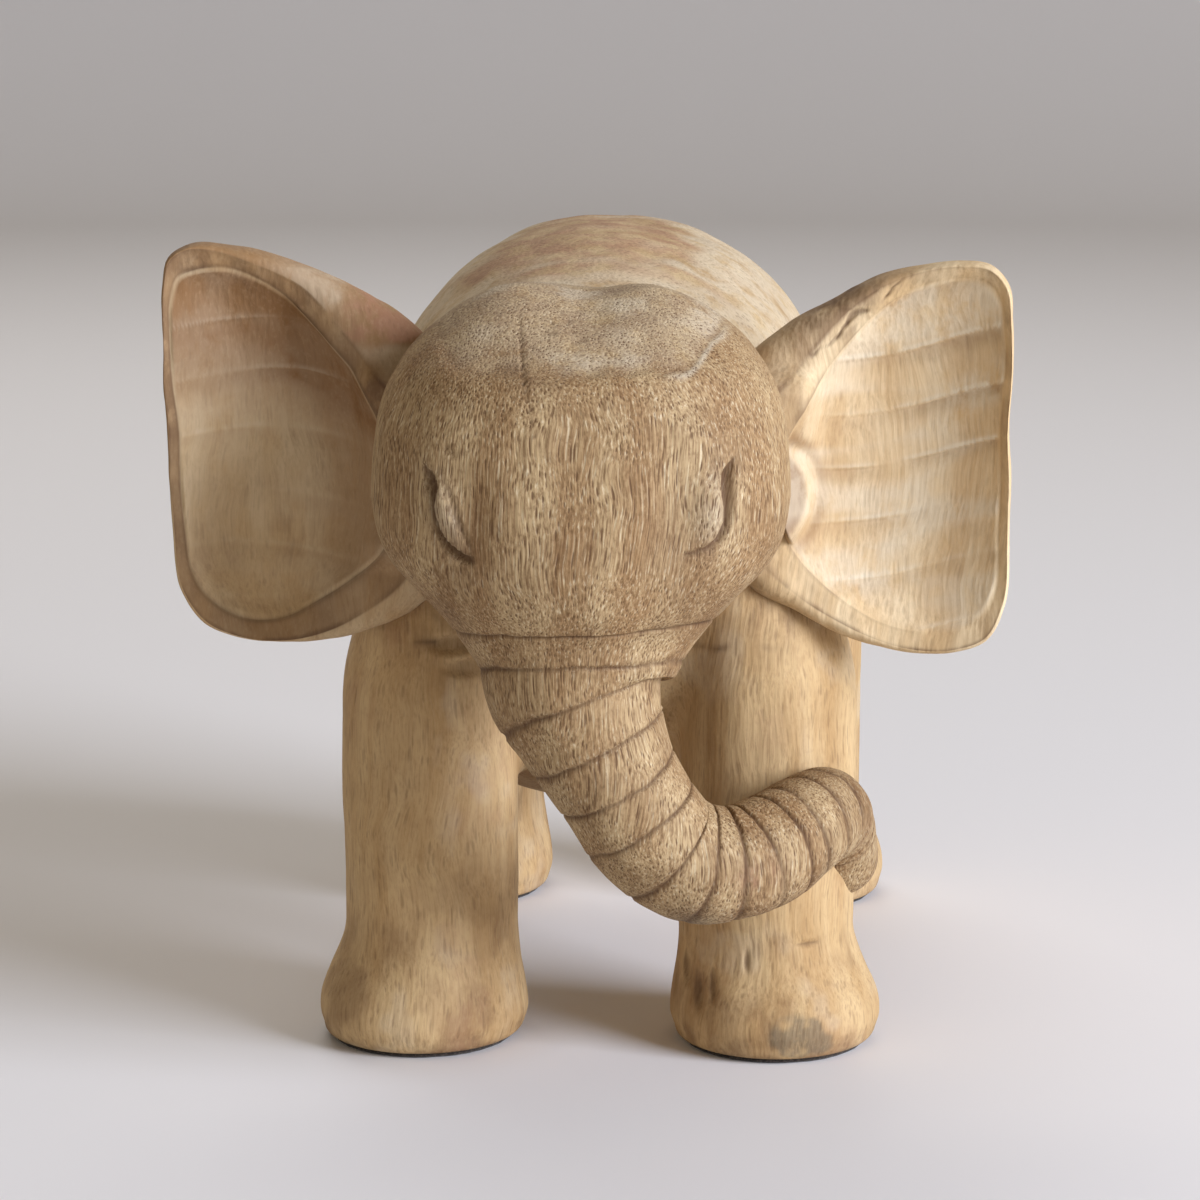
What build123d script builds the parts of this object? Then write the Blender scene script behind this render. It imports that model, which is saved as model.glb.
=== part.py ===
"""Carved wooden elephant: a figure glued up from carved blocks on hidden dowels.

Frame: millimetres, +Z up, origin on the floor under the middle of the figure.
The elephant faces -Y, and its own left side is +X.
"""

import os
from math import cos, radians, sin, sqrt

from build123d import *

os.makedirs("parts", exist_ok=True)

# ---------------------------------------------------------------- driving sizes
NECK_Y = -70.2  # the flat glue face between the head block and the torso block
LEG_SHIFT_X = 2.3  # the four legs stand this far to the left of the middle

BACK_HEIGHT = 241.0  # floor to the top of the back
TORSO_DEPTH = 184.0  # top of the back to the belly
TORSO_WIDTH = 156.0
TORSO_LENGTH = 221.0  # neck face to the end of the rump

HEAD_WIDTH = 120.0
HEAD_HEIGHT = 114.0  # crown to chin, where the trunk begins
HEAD_DEPTH = 103.0  # forehead to nape, before the nape is cut flat
HEAD_DROP = 66.0  # middle of the head below the top of the back
NAPE_CUT = 15.0  # what the flat glue face takes off the back of the head

TRUNK_ROOT_RADIUS = 21.5
TRUNK_BEND_RADIUS = 17.0  # thickness of the trunk at its lowest point
TRUNK_KNEE_RADIUS = 13.5  # thickness where it turns round the leg
TRUNK_TIP_RADIUS = 10.5
TRUNK_BEND_Z = 68.5  # centre of the trunk at its lowest point
TRUNK_PROUD = 5.5  # how far the trunk stands out from the side of the leg
TRUNK_TIP_DROP = 6.0  # the tip's end hangs this far below the lowest centre

LEG_RADIUS_X = 26.7
LEG_RADIUS_Y = 28.5
LEG_INSET = 27.0  # front leg axis inside the torso's widest point
REAR_LEG_SPREAD = 4.0  # the rear legs stand this much further out
FRONT_LEG_SETBACK = 14.0  # front leg axis behind the neck face
REAR_LEG_SETIN = 29.0  # rear leg axis in front of the end of the rump
THIGH_LEAN_Y = 6.0  # the front thigh leans this far back, the rear one forward
REAR_THIGH_EXTRA = 7.0  # how much deeper the rear thigh is than the front one
LEG_ROOT_HEIGHT = 70.0  # how far a leg's shape runs on inside the torso's round
FOOT_FLARE = 5.6  # how far the foot stands out beyond the leg
FOOT_SPLAY = 2.7  # the foot's middle lies this far outside the leg's axis
FOOT_HEIGHT = 34.0

EAR_SPREAD = 247.0  # tip to tip
EAR_RISE = 4.0  # the ears' tops stand this far above the back
EAR_HEIGHT = 119.0
EAR_THICKNESS = 14.0
EAR_BACK_RADIUS = 124.0  # the ear is part of a shell: the round of its back
EAR_FACE_RADIUS = 160.0  # the round of its rim, as seen from the front
EAR_DISH_RADIUS = 78.0  # the round of the hollow scooped into that face
EAR_DISH_DEPTH = 7.0  # how far the hollow goes in behind the rim's round
EAR_SETBACK = 4.0  # the outside of the ear stops this far behind the neck face
EAR_ROOT_X = 24.0  # how far in the ear's blank reaches, before the head is let in
EAR_BLANK_SPARE = 10.0  # the blank starts this far behind the finished ear
EAR_BLANK_DEPTH = 70.0

TAIL_RADIUS = 4.5
TAIL_TUFT_RADIUS = 6.5
TAIL_SINK = 2.0  # how deep the tail sits in its groove in the rump
TAIL_TOP_DROP = 46.0  # top of the back to where the tail begins
TAIL_LENGTH = 108.0

PAD_THICKNESS = 1.5
PAD_MARGIN = 2.5  # the felt pad stops this far inside the edge of the sole

NECK_DOWEL_DIAMETER = 12.0
LEG_DOWEL_DIAMETER = 8.0
EAR_DOWEL_DIAMETER = 6.0
TAIL_DOWEL_DIAMETER = 5.0
NECK_DOWEL_LENGTH = 60.0
LEG_DOWEL_LENGTH = 60.0
EAR_DOWEL_LENGTH = 32.0
TAIL_DOWEL_LENGTH = 20.0
NECK_DOWEL_SPACING = 40.0
LEG_DOWEL_SPACING = 16.0
LEG_DOWEL_INSET = 6.0  # leg dowels stand this far inside the leg's axis
EAR_DOWEL_SPACING = 30.0
EAR_DOWEL_SLANT = 17.0  # degrees: the ear dowels run outward and a little back
EAR_ROOT_CURL = 7.6  # the ear's root lies this far in front of its deepest part
EAR_DOWEL_INSET = 14.0  # their middles lie this far inside the head's widest point
GLUE_GAP = 0.05  # all round each dowel, filled with glue

# ------------------------------------------------- shapes, as shares of the sizes
# Torso stations: share of the length from the neck, share of the half width,
# and the shares of the depth where the underside and the back lie.
TORSO_STATIONS = [
    (0.000, 0.565, 0.337, 0.870),
    (0.070, 0.740, 0.185, 0.918),
    (0.180, 0.900, 0.055, 0.970),
    (0.340, 0.985, 0.010, 0.998),
    (0.520, 1.000, 0.000, 1.000),
    (0.690, 0.975, 0.012, 0.978),
    (0.820, 0.880, 0.055, 0.915),
    (0.920, 0.690, 0.145, 0.800),
    (0.975, 0.430, 0.280, 0.670),
    (1.000, 0.150, 0.420, 0.540),
]
# Head stations from the crown down: share of the half height above the middle,
# shares of the half width and of the half depth, and share of the depth forward.
HEAD_STATIONS = [
    (1.00, 0.30, 0.30, -0.08),
    (0.86, 0.65, 0.62, -0.06),
    (0.62, 0.86, 0.85, -0.04),
    (0.33, 0.975, 0.965, -0.02),
    (0.00, 1.00, 1.00, 0.00),
    (-0.31, 0.92, 0.92, 0.03),
    (-0.53, 0.74, 0.77, 0.07),
    (-0.72, 0.56, 0.62, 0.12),
    (-0.93, 0.43, 0.49, 0.15),
]

# ------------------------------------------------------------ places worked out
TORSO_BELLY_Z = BACK_HEIGHT - TORSO_DEPTH
RUMP_Y = NECK_Y + TORSO_LENGTH
HEAD_CENTRE_Y = NECK_Y + NAPE_CUT - HEAD_DEPTH / 2
HEAD_CENTRE_Z = BACK_HEIGHT - HEAD_DROP
EAR_TOP_Z = BACK_HEIGHT + EAR_RISE
EAR_BACK_Y = NECK_Y + EAR_SETBACK
FRONT_LEG_OFFSET = TORSO_WIDTH / 2 - LEG_INSET
REAR_LEG_OFFSET = FRONT_LEG_OFFSET + REAR_LEG_SPREAD
FRONT_LEG_Y = NECK_Y + FRONT_LEG_SETBACK
REAR_LEG_Y = RUMP_Y - REAR_LEG_SETIN
LEFT, RIGHT = 1, -1


def torso_station(share):
    """Half width, underside and back of the torso at a share of its length."""
    for low, high in zip(TORSO_STATIONS, TORSO_STATIONS[1:]):
        if share <= high[0]:
            blend = (share - low[0]) / (high[0] - low[0])
            width, under, back = [a + blend * (b - a) for a, b in zip(low[1:], high[1:])]
            return (
                width * TORSO_WIDTH / 2,
                TORSO_BELLY_Z + under * TORSO_DEPTH,
                TORSO_BELLY_Z + back * TORSO_DEPTH,
            )
    raise ValueError("the share is past the end of the torso")


def underside_at(x, y):
    """Height of the torso's lower skin over a point of the floor."""
    half_width, under, back = torso_station((y - NECK_Y) / TORSO_LENGTH)
    inside = max(0.0, 1 - (x / half_width) ** 2)
    return (under + back) / 2 - (back - under) / 2 * sqrt(inside)


def loft_along(stations):
    """Loft ellipses square to the line through their centres.

    Each station is (centre, half width, half depth). The first ellipse has its
    width along X, and each one after it is carried on without twisting.
    """
    centres = [Vector(*centre) for centre, _, _ in stations]
    across = Vector(1, 0, 0)
    sections = []
    for i, (_, half_width, half_depth) in enumerate(stations):
        ahead = centres[min(i + 1, len(centres) - 1)]
        behind = centres[max(i - 1, 0)]
        along = (ahead - behind).normalized()
        across = (across - along * across.dot(along)).normalized()
        plane = Plane(origin=centres[i], x_dir=across, z_dir=along)
        with BuildSketch(plane) as section:
            Ellipse(half_width, half_depth)
        sections.append(section.sketch)
    loft(sections)


def add_dowels(planes, diameter, length, mode=Mode.ADD):
    """Round pegs centred on the planes, each along its plane's normal."""
    for plane in planes:
        with BuildSketch(plane.offset(-length / 2)) as end:
            Circle(diameter / 2)
        extrude(end.sketch, amount=length, mode=mode)


def cut_dowel_holes(planes, diameter, length):
    """The holes that a group of dowels sits in."""
    add_dowels(planes, diameter + 2 * GLUE_GAP, length + 2 * GLUE_GAP, Mode.SUBTRACT)


# ------------------------------------------------------------------ dowel places
def leg_dowel_planes(side, offset, first_y):
    """Two upright dowels, each centred on the skin where leg meets torso."""
    x = LEG_SHIFT_X + side * (offset - LEG_DOWEL_INSET)
    return [
        Plane(origin=(x, y, underside_at(x, y)))
        for y in (first_y, first_y + LEG_DOWEL_SPACING)
    ]


def ear_dowel_planes(side):
    """Two level dowels that follow the ear's wall into the side of the head."""
    x = side * (HEAD_WIDTH / 2 - EAR_DOWEL_INSET)
    y = EAR_BACK_Y - EAR_THICKNESS / 2 - EAR_ROOT_CURL
    heights = (HEAD_CENTRE_Z + 5 + s * EAR_DOWEL_SPACING / 2 for s in (-1, 1))
    slant = radians(EAR_DOWEL_SLANT)
    outward = (side * cos(slant), sin(slant), 0)
    return [Plane(origin=(x, y, z), x_dir=(0, 0, 1), z_dir=outward) for z in heights]


NECK_DOWELS = [
    Plane(origin=(s * NECK_DOWEL_SPACING / 2, NECK_Y, HEAD_CENTRE_Z - 5), z_dir=(0, 1, 0))
    for s in (-1, 1)
]
TAIL_DOWELS = [
    Plane(origin=(0, RUMP_Y - 4, BACK_HEIGHT - TAIL_TOP_DROP - 40), z_dir=(0, 1, 0))
]
FRONT_LEFT_DOWELS = leg_dowel_planes(LEFT, FRONT_LEG_OFFSET, FRONT_LEG_Y)
FRONT_RIGHT_DOWELS = leg_dowel_planes(RIGHT, FRONT_LEG_OFFSET, FRONT_LEG_Y)
REAR_LEFT_DOWELS = leg_dowel_planes(LEFT, REAR_LEG_OFFSET, REAR_LEG_Y - LEG_DOWEL_SPACING)
REAR_RIGHT_DOWELS = leg_dowel_planes(RIGHT, REAR_LEG_OFFSET, REAR_LEG_Y - LEG_DOWEL_SPACING)
LEG_DOWEL_GROUPS = {
    "front_left": FRONT_LEFT_DOWELS,
    "front_right": FRONT_RIGHT_DOWELS,
    "rear_left": REAR_LEFT_DOWELS,
    "rear_right": REAR_RIGHT_DOWELS,
}

# -------------------------------------------------------------------------- tail
with BuildPart() as tail:
    tail_y = RUMP_Y - TAIL_SINK + TAIL_RADIUS
    tail_top = BACK_HEIGHT - TAIL_TOP_DROP
    loft_along(
        [
            ((0, tail_y - 13, tail_top), 6.5, 5.0),
            ((0, tail_y - 3, tail_top - 0.19 * TAIL_LENGTH), 5.5, 4.8),
            ((0, tail_y, tail_top - 0.43 * TAIL_LENGTH), TAIL_RADIUS, TAIL_RADIUS),
            ((0, tail_y - 1, tail_top - 0.65 * TAIL_LENGTH), TAIL_RADIUS, TAIL_RADIUS),
            ((0, tail_y - 4, tail_top - 0.83 * TAIL_LENGTH), TAIL_TUFT_RADIUS, 5.5),
            ((0, tail_y - 9, tail_top - TAIL_LENGTH), 3.0, 3.0),
        ]
    )
    cut_dowel_holes(TAIL_DOWELS, TAIL_DOWEL_DIAMETER, TAIL_DOWEL_LENGTH)

# ------------------------------------------------------------------------- torso
with BuildPart() as torso_blank:
    for share, width, under, back in TORSO_STATIONS:
        middle_z = TORSO_BELLY_Z + (under + back) / 2 * TORSO_DEPTH
        with BuildSketch(Plane.XZ.offset(-(NECK_Y + share * TORSO_LENGTH))):
            with Locations((0, middle_z)):
                Ellipse(width * TORSO_WIDTH / 2, (back - under) / 2 * TORSO_DEPTH)
    loft()

with BuildPart() as torso:
    add(torso_blank.part)
    add(tail.part, mode=Mode.SUBTRACT)
    cut_dowel_holes(TAIL_DOWELS, TAIL_DOWEL_DIAMETER, TAIL_DOWEL_LENGTH)
    cut_dowel_holes(NECK_DOWELS, NECK_DOWEL_DIAMETER, NECK_DOWEL_LENGTH)
    for planes in LEG_DOWEL_GROUPS.values():
        cut_dowel_holes(planes, LEG_DOWEL_DIAMETER, LEG_DOWEL_LENGTH)

# ---------------------------------------------------------------- head and trunk
with BuildPart() as head_blank:
    head_stations = [
        (
            (0, HEAD_CENTRE_Y - forward * HEAD_DEPTH, HEAD_CENTRE_Z + rise * HEAD_HEIGHT / 2),
            width * HEAD_WIDTH / 2,
            depth * HEAD_DEPTH / 2,
        )
        for rise, width, depth, forward in HEAD_STATIONS
    ]
    # The trunk hangs from the face, swings to the left across the front of the
    # left leg, and turns back along the leg's side, where it is let in.
    root_y = HEAD_CENTRE_Y - 0.17 * HEAD_DEPTH
    leg_front_y = FRONT_LEG_Y - LEG_RADIUS_Y
    leg_side_x = LEG_SHIFT_X + FRONT_LEG_OFFSET + LEG_RADIUS_X
    tip_x = leg_side_x + TRUNK_PROUD - TRUNK_TIP_RADIUS
    knee_x = leg_side_x + TRUNK_PROUD - 1.2 * TRUNK_KNEE_RADIUS
    trunk_path = [
        (4, root_y, 43.5, TRUNK_ROOT_RADIUS),
        (8, root_y, 29, TRUNK_ROOT_RADIUS - 2.2),
        (16, root_y + 1, 15, TRUNK_BEND_RADIUS + 1.2),
        (27, root_y + 3.5, 4, TRUNK_BEND_RADIUS + 0.6),
        (leg_side_x - 38.5, leg_front_y - 32.5, 0, TRUNK_BEND_RADIUS),
        (leg_side_x - 26, leg_front_y - 25.5, 2, TRUNK_BEND_RADIUS - 0.8),
        (leg_side_x - 16, leg_front_y - 13, 7, TRUNK_KNEE_RADIUS + 1.5),
        (knee_x + 4, leg_front_y + 2, 8.5, TRUNK_KNEE_RADIUS),
        (tip_x - 1, leg_front_y + 17, 2.5, (TRUNK_KNEE_RADIUS + TRUNK_TIP_RADIUS) / 2),
        (tip_x, leg_front_y + 31, -TRUNK_TIP_DROP, TRUNK_TIP_RADIUS),
    ]
    trunk_stations = [((x, y, TRUNK_BEND_Z + rise), r, r) for x, y, rise, r in trunk_path]
    loft_along(head_stations + trunk_stations)
    split(bisect_by=Plane.XZ.offset(-NECK_Y), keep=Keep.TOP)

with BuildPart() as head_and_trunk:
    add(head_blank.part)
    cut_dowel_holes(NECK_DOWELS, NECK_DOWEL_DIAMETER, NECK_DOWEL_LENGTH)
    for side in (LEFT, RIGHT):
        cut_dowel_holes(ear_dowel_planes(side), EAR_DOWEL_DIAMETER, EAR_DOWEL_LENGTH)


# -------------------------------------------------------------------------- legs
def carve_leg(side, offset, axis_y, lean_y, thigh_extra, dowels):
    """A flared foot, a shank, and a thigh that leans in and meets the torso."""
    rx, ry = LEG_RADIUS_X, LEG_RADIUS_Y
    foot_x, foot_y = rx + FOOT_FLARE, ry + FOOT_FLARE
    thigh_y = ry + thigh_extra
    joint_z = underside_at(offset, axis_y + lean_y)
    shank_z = (FOOT_HEIGHT + joint_z) / 2
    stations = [
        (PAD_THICKNESS, FOOT_SPLAY, 0, foot_x - 2, foot_y - 2),
        (PAD_THICKNESS + 7, FOOT_SPLAY, 0, foot_x, foot_y),
        (FOOT_HEIGHT * 0.62, FOOT_SPLAY - 0.5, 0, foot_x - 0.8, foot_y - 0.8),
        (FOOT_HEIGHT, 0.5, 0, rx + 0.8, ry + 0.8),
        (shank_z, 0, 0.4 * lean_y, rx, ry + thigh_extra * 0.4),
        (joint_z, -1, lean_y, rx, thigh_y),
        (joint_z + 0.35 * LEG_ROOT_HEIGHT, -5, 1.6 * lean_y, rx - 2.5, thigh_y - 1),
        (joint_z + 0.7 * LEG_ROOT_HEIGHT, -12, 2.1 * lean_y, rx - 8, thigh_y - 6),
        (joint_z + LEG_ROOT_HEIGHT, -22, 2.4 * lean_y, rx - 16, thigh_y - 16),
    ]
    sections = []
    for z, outward, back, half_x, half_y in stations:
        with BuildSketch(Plane.XY.offset(z)) as section:
            with Locations((LEG_SHIFT_X + side * (offset + outward), axis_y + back)):
                Ellipse(half_x, half_y)
        sections.append(section.sketch)
    loft(sections)
    add(torso_blank.part, mode=Mode.SUBTRACT)
    add(head_blank.part, mode=Mode.SUBTRACT)
    cut_dowel_holes(dowels, LEG_DOWEL_DIAMETER, LEG_DOWEL_LENGTH)


with BuildPart() as front_left_leg:
    carve_leg(LEFT, FRONT_LEG_OFFSET, FRONT_LEG_Y, THIGH_LEAN_Y, 0, FRONT_LEFT_DOWELS)

with BuildPart() as front_right_leg:
    carve_leg(RIGHT, FRONT_LEG_OFFSET, FRONT_LEG_Y, THIGH_LEAN_Y, 0, FRONT_RIGHT_DOWELS)

with BuildPart() as rear_left_leg:
    carve_leg(LEFT, REAR_LEG_OFFSET, REAR_LEG_Y, -THIGH_LEAN_Y, REAR_THIGH_EXTRA, REAR_LEFT_DOWELS)

with BuildPart() as rear_right_leg:
    carve_leg(RIGHT, REAR_LEG_OFFSET, REAR_LEG_Y, -THIGH_LEAN_Y, REAR_THIGH_EXTRA, REAR_RIGHT_DOWELS)

# -------------------------------------------------------------------------- ears
with BuildPart() as ear_blank:
    ear_tip_x = EAR_SPREAD / 2
    ear_low_z = EAR_TOP_Z - EAR_HEIGHT
    ear_mid_x = (ear_tip_x + HEAD_WIDTH / 2) / 2 - 2
    ear_mid_z = EAR_TOP_Z - EAR_HEIGHT / 2
    ear_face_y = EAR_BACK_Y - EAR_THICKNESS
    with BuildSketch(Plane.XZ.offset(-(EAR_BACK_Y + EAR_BLANK_SPARE))):
        with BuildLine():
            FilletPolyline(
                (EAR_ROOT_X, EAR_TOP_Z - 32),
                (EAR_ROOT_X, ear_low_z + 20),
                (ear_tip_x - 34, ear_low_z),
                (ear_tip_x - 3, ear_low_z + 2),
                (ear_tip_x, EAR_TOP_Z),
                (ear_tip_x - 30, EAR_TOP_Z - 2),
                radius=[3, 3, 34, 20, 14, 55],
                close=True,
            )
        make_face()
    extrude(amount=EAR_BLANK_DEPTH)
    with Locations((ear_mid_x, EAR_BACK_Y - EAR_BACK_RADIUS, ear_mid_z)):
        Sphere(EAR_BACK_RADIUS, mode=Mode.INTERSECT)
    with Locations((ear_mid_x, ear_face_y - EAR_FACE_RADIUS, ear_mid_z)):
        Sphere(EAR_FACE_RADIUS, mode=Mode.SUBTRACT)
    dish_centre_y = ear_face_y + EAR_DISH_DEPTH - EAR_DISH_RADIUS
    with Locations((ear_mid_x + 9, dish_centre_y, ear_mid_z - 2)):
        Sphere(EAR_DISH_RADIUS, mode=Mode.SUBTRACT)


def fit_ear(side, leg_below):
    """Let the head, the torso and the leg into the root of the ear in hand."""
    add(head_blank.part, mode=Mode.SUBTRACT)
    add(torso_blank.part, mode=Mode.SUBTRACT)
    add(leg_below, mode=Mode.SUBTRACT)
    cut_dowel_holes(ear_dowel_planes(side), EAR_DOWEL_DIAMETER, EAR_DOWEL_LENGTH)


with BuildPart() as left_ear:
    add(ear_blank.part)
    fit_ear(LEFT, front_left_leg.part)

with BuildPart() as right_ear:
    add(mirror(ear_blank.part, about=Plane.YZ, mode=Mode.PRIVATE))
    fit_ear(RIGHT, front_right_leg.part)

# ------------------------------------------------------------------------ dowels
with BuildPart() as neck_dowels:
    add_dowels(NECK_DOWELS, NECK_DOWEL_DIAMETER, NECK_DOWEL_LENGTH)

with BuildPart() as left_ear_dowels:
    add_dowels(ear_dowel_planes(LEFT), EAR_DOWEL_DIAMETER, EAR_DOWEL_LENGTH)

with BuildPart() as right_ear_dowels:
    add_dowels(ear_dowel_planes(RIGHT), EAR_DOWEL_DIAMETER, EAR_DOWEL_LENGTH)

with BuildPart() as tail_dowel:
    add_dowels(TAIL_DOWELS, TAIL_DOWEL_DIAMETER, TAIL_DOWEL_LENGTH)

leg_dowels = {}
for corner, planes in LEG_DOWEL_GROUPS.items():
    with BuildPart() as pair:
        add_dowels(planes, LEG_DOWEL_DIAMETER, LEG_DOWEL_LENGTH)
    leg_dowels[f"{corner}_leg_dowels"] = pair.part

# ------------------------------------------------------------------------- pads
PAD_PLACES = {
    "front_left": (LEFT, FRONT_LEG_OFFSET, FRONT_LEG_Y),
    "front_right": (RIGHT, FRONT_LEG_OFFSET, FRONT_LEG_Y),
    "rear_left": (LEFT, REAR_LEG_OFFSET, REAR_LEG_Y),
    "rear_right": (RIGHT, REAR_LEG_OFFSET, REAR_LEG_Y),
}
pads = {}
for corner, (side, offset, axis_y) in PAD_PLACES.items():
    with BuildPart() as pad:
        with BuildSketch():
            with Locations((LEG_SHIFT_X + side * (offset + FOOT_SPLAY), axis_y)):
                Ellipse(
                    LEG_RADIUS_X + FOOT_FLARE - 2 - PAD_MARGIN,
                    LEG_RADIUS_Y + FOOT_FLARE - 2 - PAD_MARGIN,
                )
        extrude(amount=PAD_THICKNESS)
    pads[f"{corner}_pad"] = pad.part

# ------------------------------------------------------------------------ pieces
pieces = {
    "torso": torso.part,
    "head_and_trunk": head_and_trunk.part,
    "left_ear": left_ear.part,
    "right_ear": right_ear.part,
    "front_left_leg": front_left_leg.part,
    "front_right_leg": front_right_leg.part,
    "rear_left_leg": rear_left_leg.part,
    "rear_right_leg": rear_right_leg.part,
    "tail": tail.part,
    "neck_dowels": neck_dowels.part,
    "left_ear_dowels": left_ear_dowels.part,
    "right_ear_dowels": right_ear_dowels.part,
    "tail_dowel": tail_dowel.part,
    **leg_dowels,
    **pads,
}
for name, piece in pieces.items():
    piece.label = name
    export_step(piece, f"parts/{name}.step")
    print(f"{name}: {len(piece.solids())} solid(s), {piece.volume / 1000:.1f} cm3")
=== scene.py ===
"""A hand-carved wooden elephant: raw matt wood, dished ears and a ringed trunk.

The trunk rests round one front leg. Every surface is a grid of rings, worked out in
millimetres and put into its mesh in metres.
"""

import itertools
import logging
import math
from collections.abc import Callable
from dataclasses import dataclass
from enum import Enum

import bpy
import numpy as np
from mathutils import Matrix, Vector


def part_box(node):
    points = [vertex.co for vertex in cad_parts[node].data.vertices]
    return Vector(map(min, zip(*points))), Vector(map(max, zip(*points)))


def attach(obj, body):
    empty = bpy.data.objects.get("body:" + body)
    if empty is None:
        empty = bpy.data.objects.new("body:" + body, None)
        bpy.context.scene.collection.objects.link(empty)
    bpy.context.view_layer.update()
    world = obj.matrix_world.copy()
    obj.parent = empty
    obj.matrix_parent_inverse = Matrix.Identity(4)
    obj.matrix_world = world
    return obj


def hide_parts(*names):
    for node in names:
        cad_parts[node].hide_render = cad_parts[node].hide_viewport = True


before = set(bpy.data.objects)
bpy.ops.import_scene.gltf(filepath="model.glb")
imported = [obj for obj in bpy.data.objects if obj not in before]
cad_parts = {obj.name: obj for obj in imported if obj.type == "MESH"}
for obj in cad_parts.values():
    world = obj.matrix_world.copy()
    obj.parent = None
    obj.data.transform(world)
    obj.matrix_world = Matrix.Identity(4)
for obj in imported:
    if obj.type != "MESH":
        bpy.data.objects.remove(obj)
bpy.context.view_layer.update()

LOG = logging.getLogger("carving")
MM = 0.001
BLEND = 10.0  # rounding in mm where the head runs into the torso
SETTLE_STEPS = 14  # enough for a point to come to rest on the joined surface
HEAD_END = 60.0  # mm along the trunk's path from the brow to the end of the face

# How dark a knife cut is, with its rows of x, z, half width and depth in mm.
KnifeCut = tuple[float, tuple[tuple[float, float, float, float], ...]]


class Side(Enum):
    """The elephant's own left and right; its left is towards +X."""

    LEFT = 1
    RIGHT = -1


# ---------------------------------------------------------------- plain mathematics


def box_mm(node: str) -> tuple[np.ndarray, np.ndarray]:
    """The lowest and highest corner of a CAD node, in millimetres."""
    low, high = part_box(node)
    return np.array(low) / MM, np.array(high) / MM


def smooth_step(low: float, high: float, value: np.ndarray) -> np.ndarray:
    """0 below low, 1 above high, and 3t² - 2t³ between."""
    t = np.clip((value - low) / (high - low), 0, 1)
    return t * t * (3 - 2 * t)


def smooth_min(a: np.ndarray, b: np.ndarray, width: float) -> np.ndarray:
    """The smaller of a and b, with the corner between them rounded over width."""
    h = np.clip(0.5 + 0.5 * (b - a) / width, 0, 1)
    return b * (1 - h) + a * h - width * h * (1 - h)


def bell(value: np.ndarray, width: float) -> np.ndarray:
    """A soft hump: 1 at nought, falling as exp(-(value / width)²)."""
    return np.exp(-((value / width) ** 2))


def through(stations: np.ndarray, at: np.ndarray) -> np.ndarray:
    """A smooth curve through stations, with Hermite cubics between them.

    Args:
        stations: rows whose first column is the parameter, and the rest the values.
        at: the parameters wanted.

    Returns:
        One row of values for each parameter.
    """
    knots, values = stations[:, 0], stations[:, 1:]
    slopes = np.gradient(values, knots, axis=0)
    i = np.clip(np.searchsorted(knots, at, side="right") - 1, 0, len(knots) - 2)
    span = (knots[i + 1] - knots[i])[:, None]
    t = (at[:, None] - knots[i][:, None]) / span
    return (
        (2 * t**3 - 3 * t**2 + 1) * values[i]
        + (t**3 - 2 * t**2 + t) * span * slopes[i]
        + (3 * t**2 - 2 * t**3) * values[i + 1]
        + (t**3 - t**2) * span * slopes[i + 1]
    )


def spread(weights: np.ndarray, count: int) -> np.ndarray:
    """Shares from 0 to 1, closer together where weights are higher."""
    total = np.concatenate([[0], np.cumsum((weights[1:] + weights[:-1]) / 2)])
    return np.interp(np.linspace(0, total[-1], count), total, np.linspace(0, 1, len(weights)))


def hashed(cell: np.ndarray, seed: int) -> np.ndarray:
    """A repeatable number from -1 to 1 for each whole-numbered cell.

    Args:
        cell: whole numbers, three in the last axis.
        seed: picks one of many sets of numbers.

    Returns:
        One number for each cell, from its three numbers multiplied, mixed and masked.
    """
    key = cell[..., 0] * 73856093 ^ cell[..., 1] * 19349663 ^ cell[..., 2] * 83492791
    key = (key ^ seed * 668265263) & 0xFFFFFFFF
    key = ((key ^ key >> 15) * 2246822519) & 0xFFFFFFFF
    key = ((key ^ key >> 13) * 3266489917) & 0xFFFFFFFF
    return ((key ^ key >> 16) & 0xFFFF) / 32767.5 - 1


def waver(points: np.ndarray, size: tuple[float, float, float], seed: int) -> np.ndarray:
    """Smooth random relief, from values on a lattice blended with a quintic fade.

    Args:
        points: places in mm, three coordinates in the last axis.
        size: how big the bumps are along X, Y and Z, in mm.
        seed: picks one of many reliefs.

    Returns:
        A value from -1 to 1 for each place.
    """
    place = points / np.array(size)
    base = np.floor(place).astype(np.int64)
    part = place - base
    part = part**3 * (part * (part * 6 - 15) + 10)
    total = np.zeros(points.shape[:-1])
    for corner in itertools.product((0, 1), repeat=3):
        weight = np.prod(np.where(np.array(corner) == 1, part, 1 - part), axis=-1)
        total += weight * hashed(base + np.array(corner), seed)
    return total


def gouge(
    points: np.ndarray, size: tuple[float, float, float], seed: int, crisp: float = 11.0
) -> np.ndarray:
    """Overlapping gouge cuts, from the squared distance to the nearest of many centres.

    Args:
        points: places in mm, three coordinates in the last axis.
        size: each cell of this size in mm has one centre, moved about inside it.
        seed: picks one of many sets of centres.
        crisp: a higher value leaves sharper ridges where neighbouring cuts meet.

    Returns:
        About 0 in the middle of each cut, and towards 1 on the ridges between.
    """
    place = points / np.array(size)
    base = np.floor(place).astype(np.int64)
    total = np.zeros(points.shape[:-1])
    for step in itertools.product((-1, 0, 1), repeat=3):
        cell = base + np.array(step)
        jitter = np.stack([hashed(cell, seed + axis) for axis in range(3)], axis=-1)
        distance = np.sum((cell + 0.5 + 0.42 * jitter - place) ** 2, axis=-1)
        total += np.exp(-crisp * distance)
    return np.clip(-np.log(total + 1e-30) / crisp, -0.1, 1)


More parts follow.
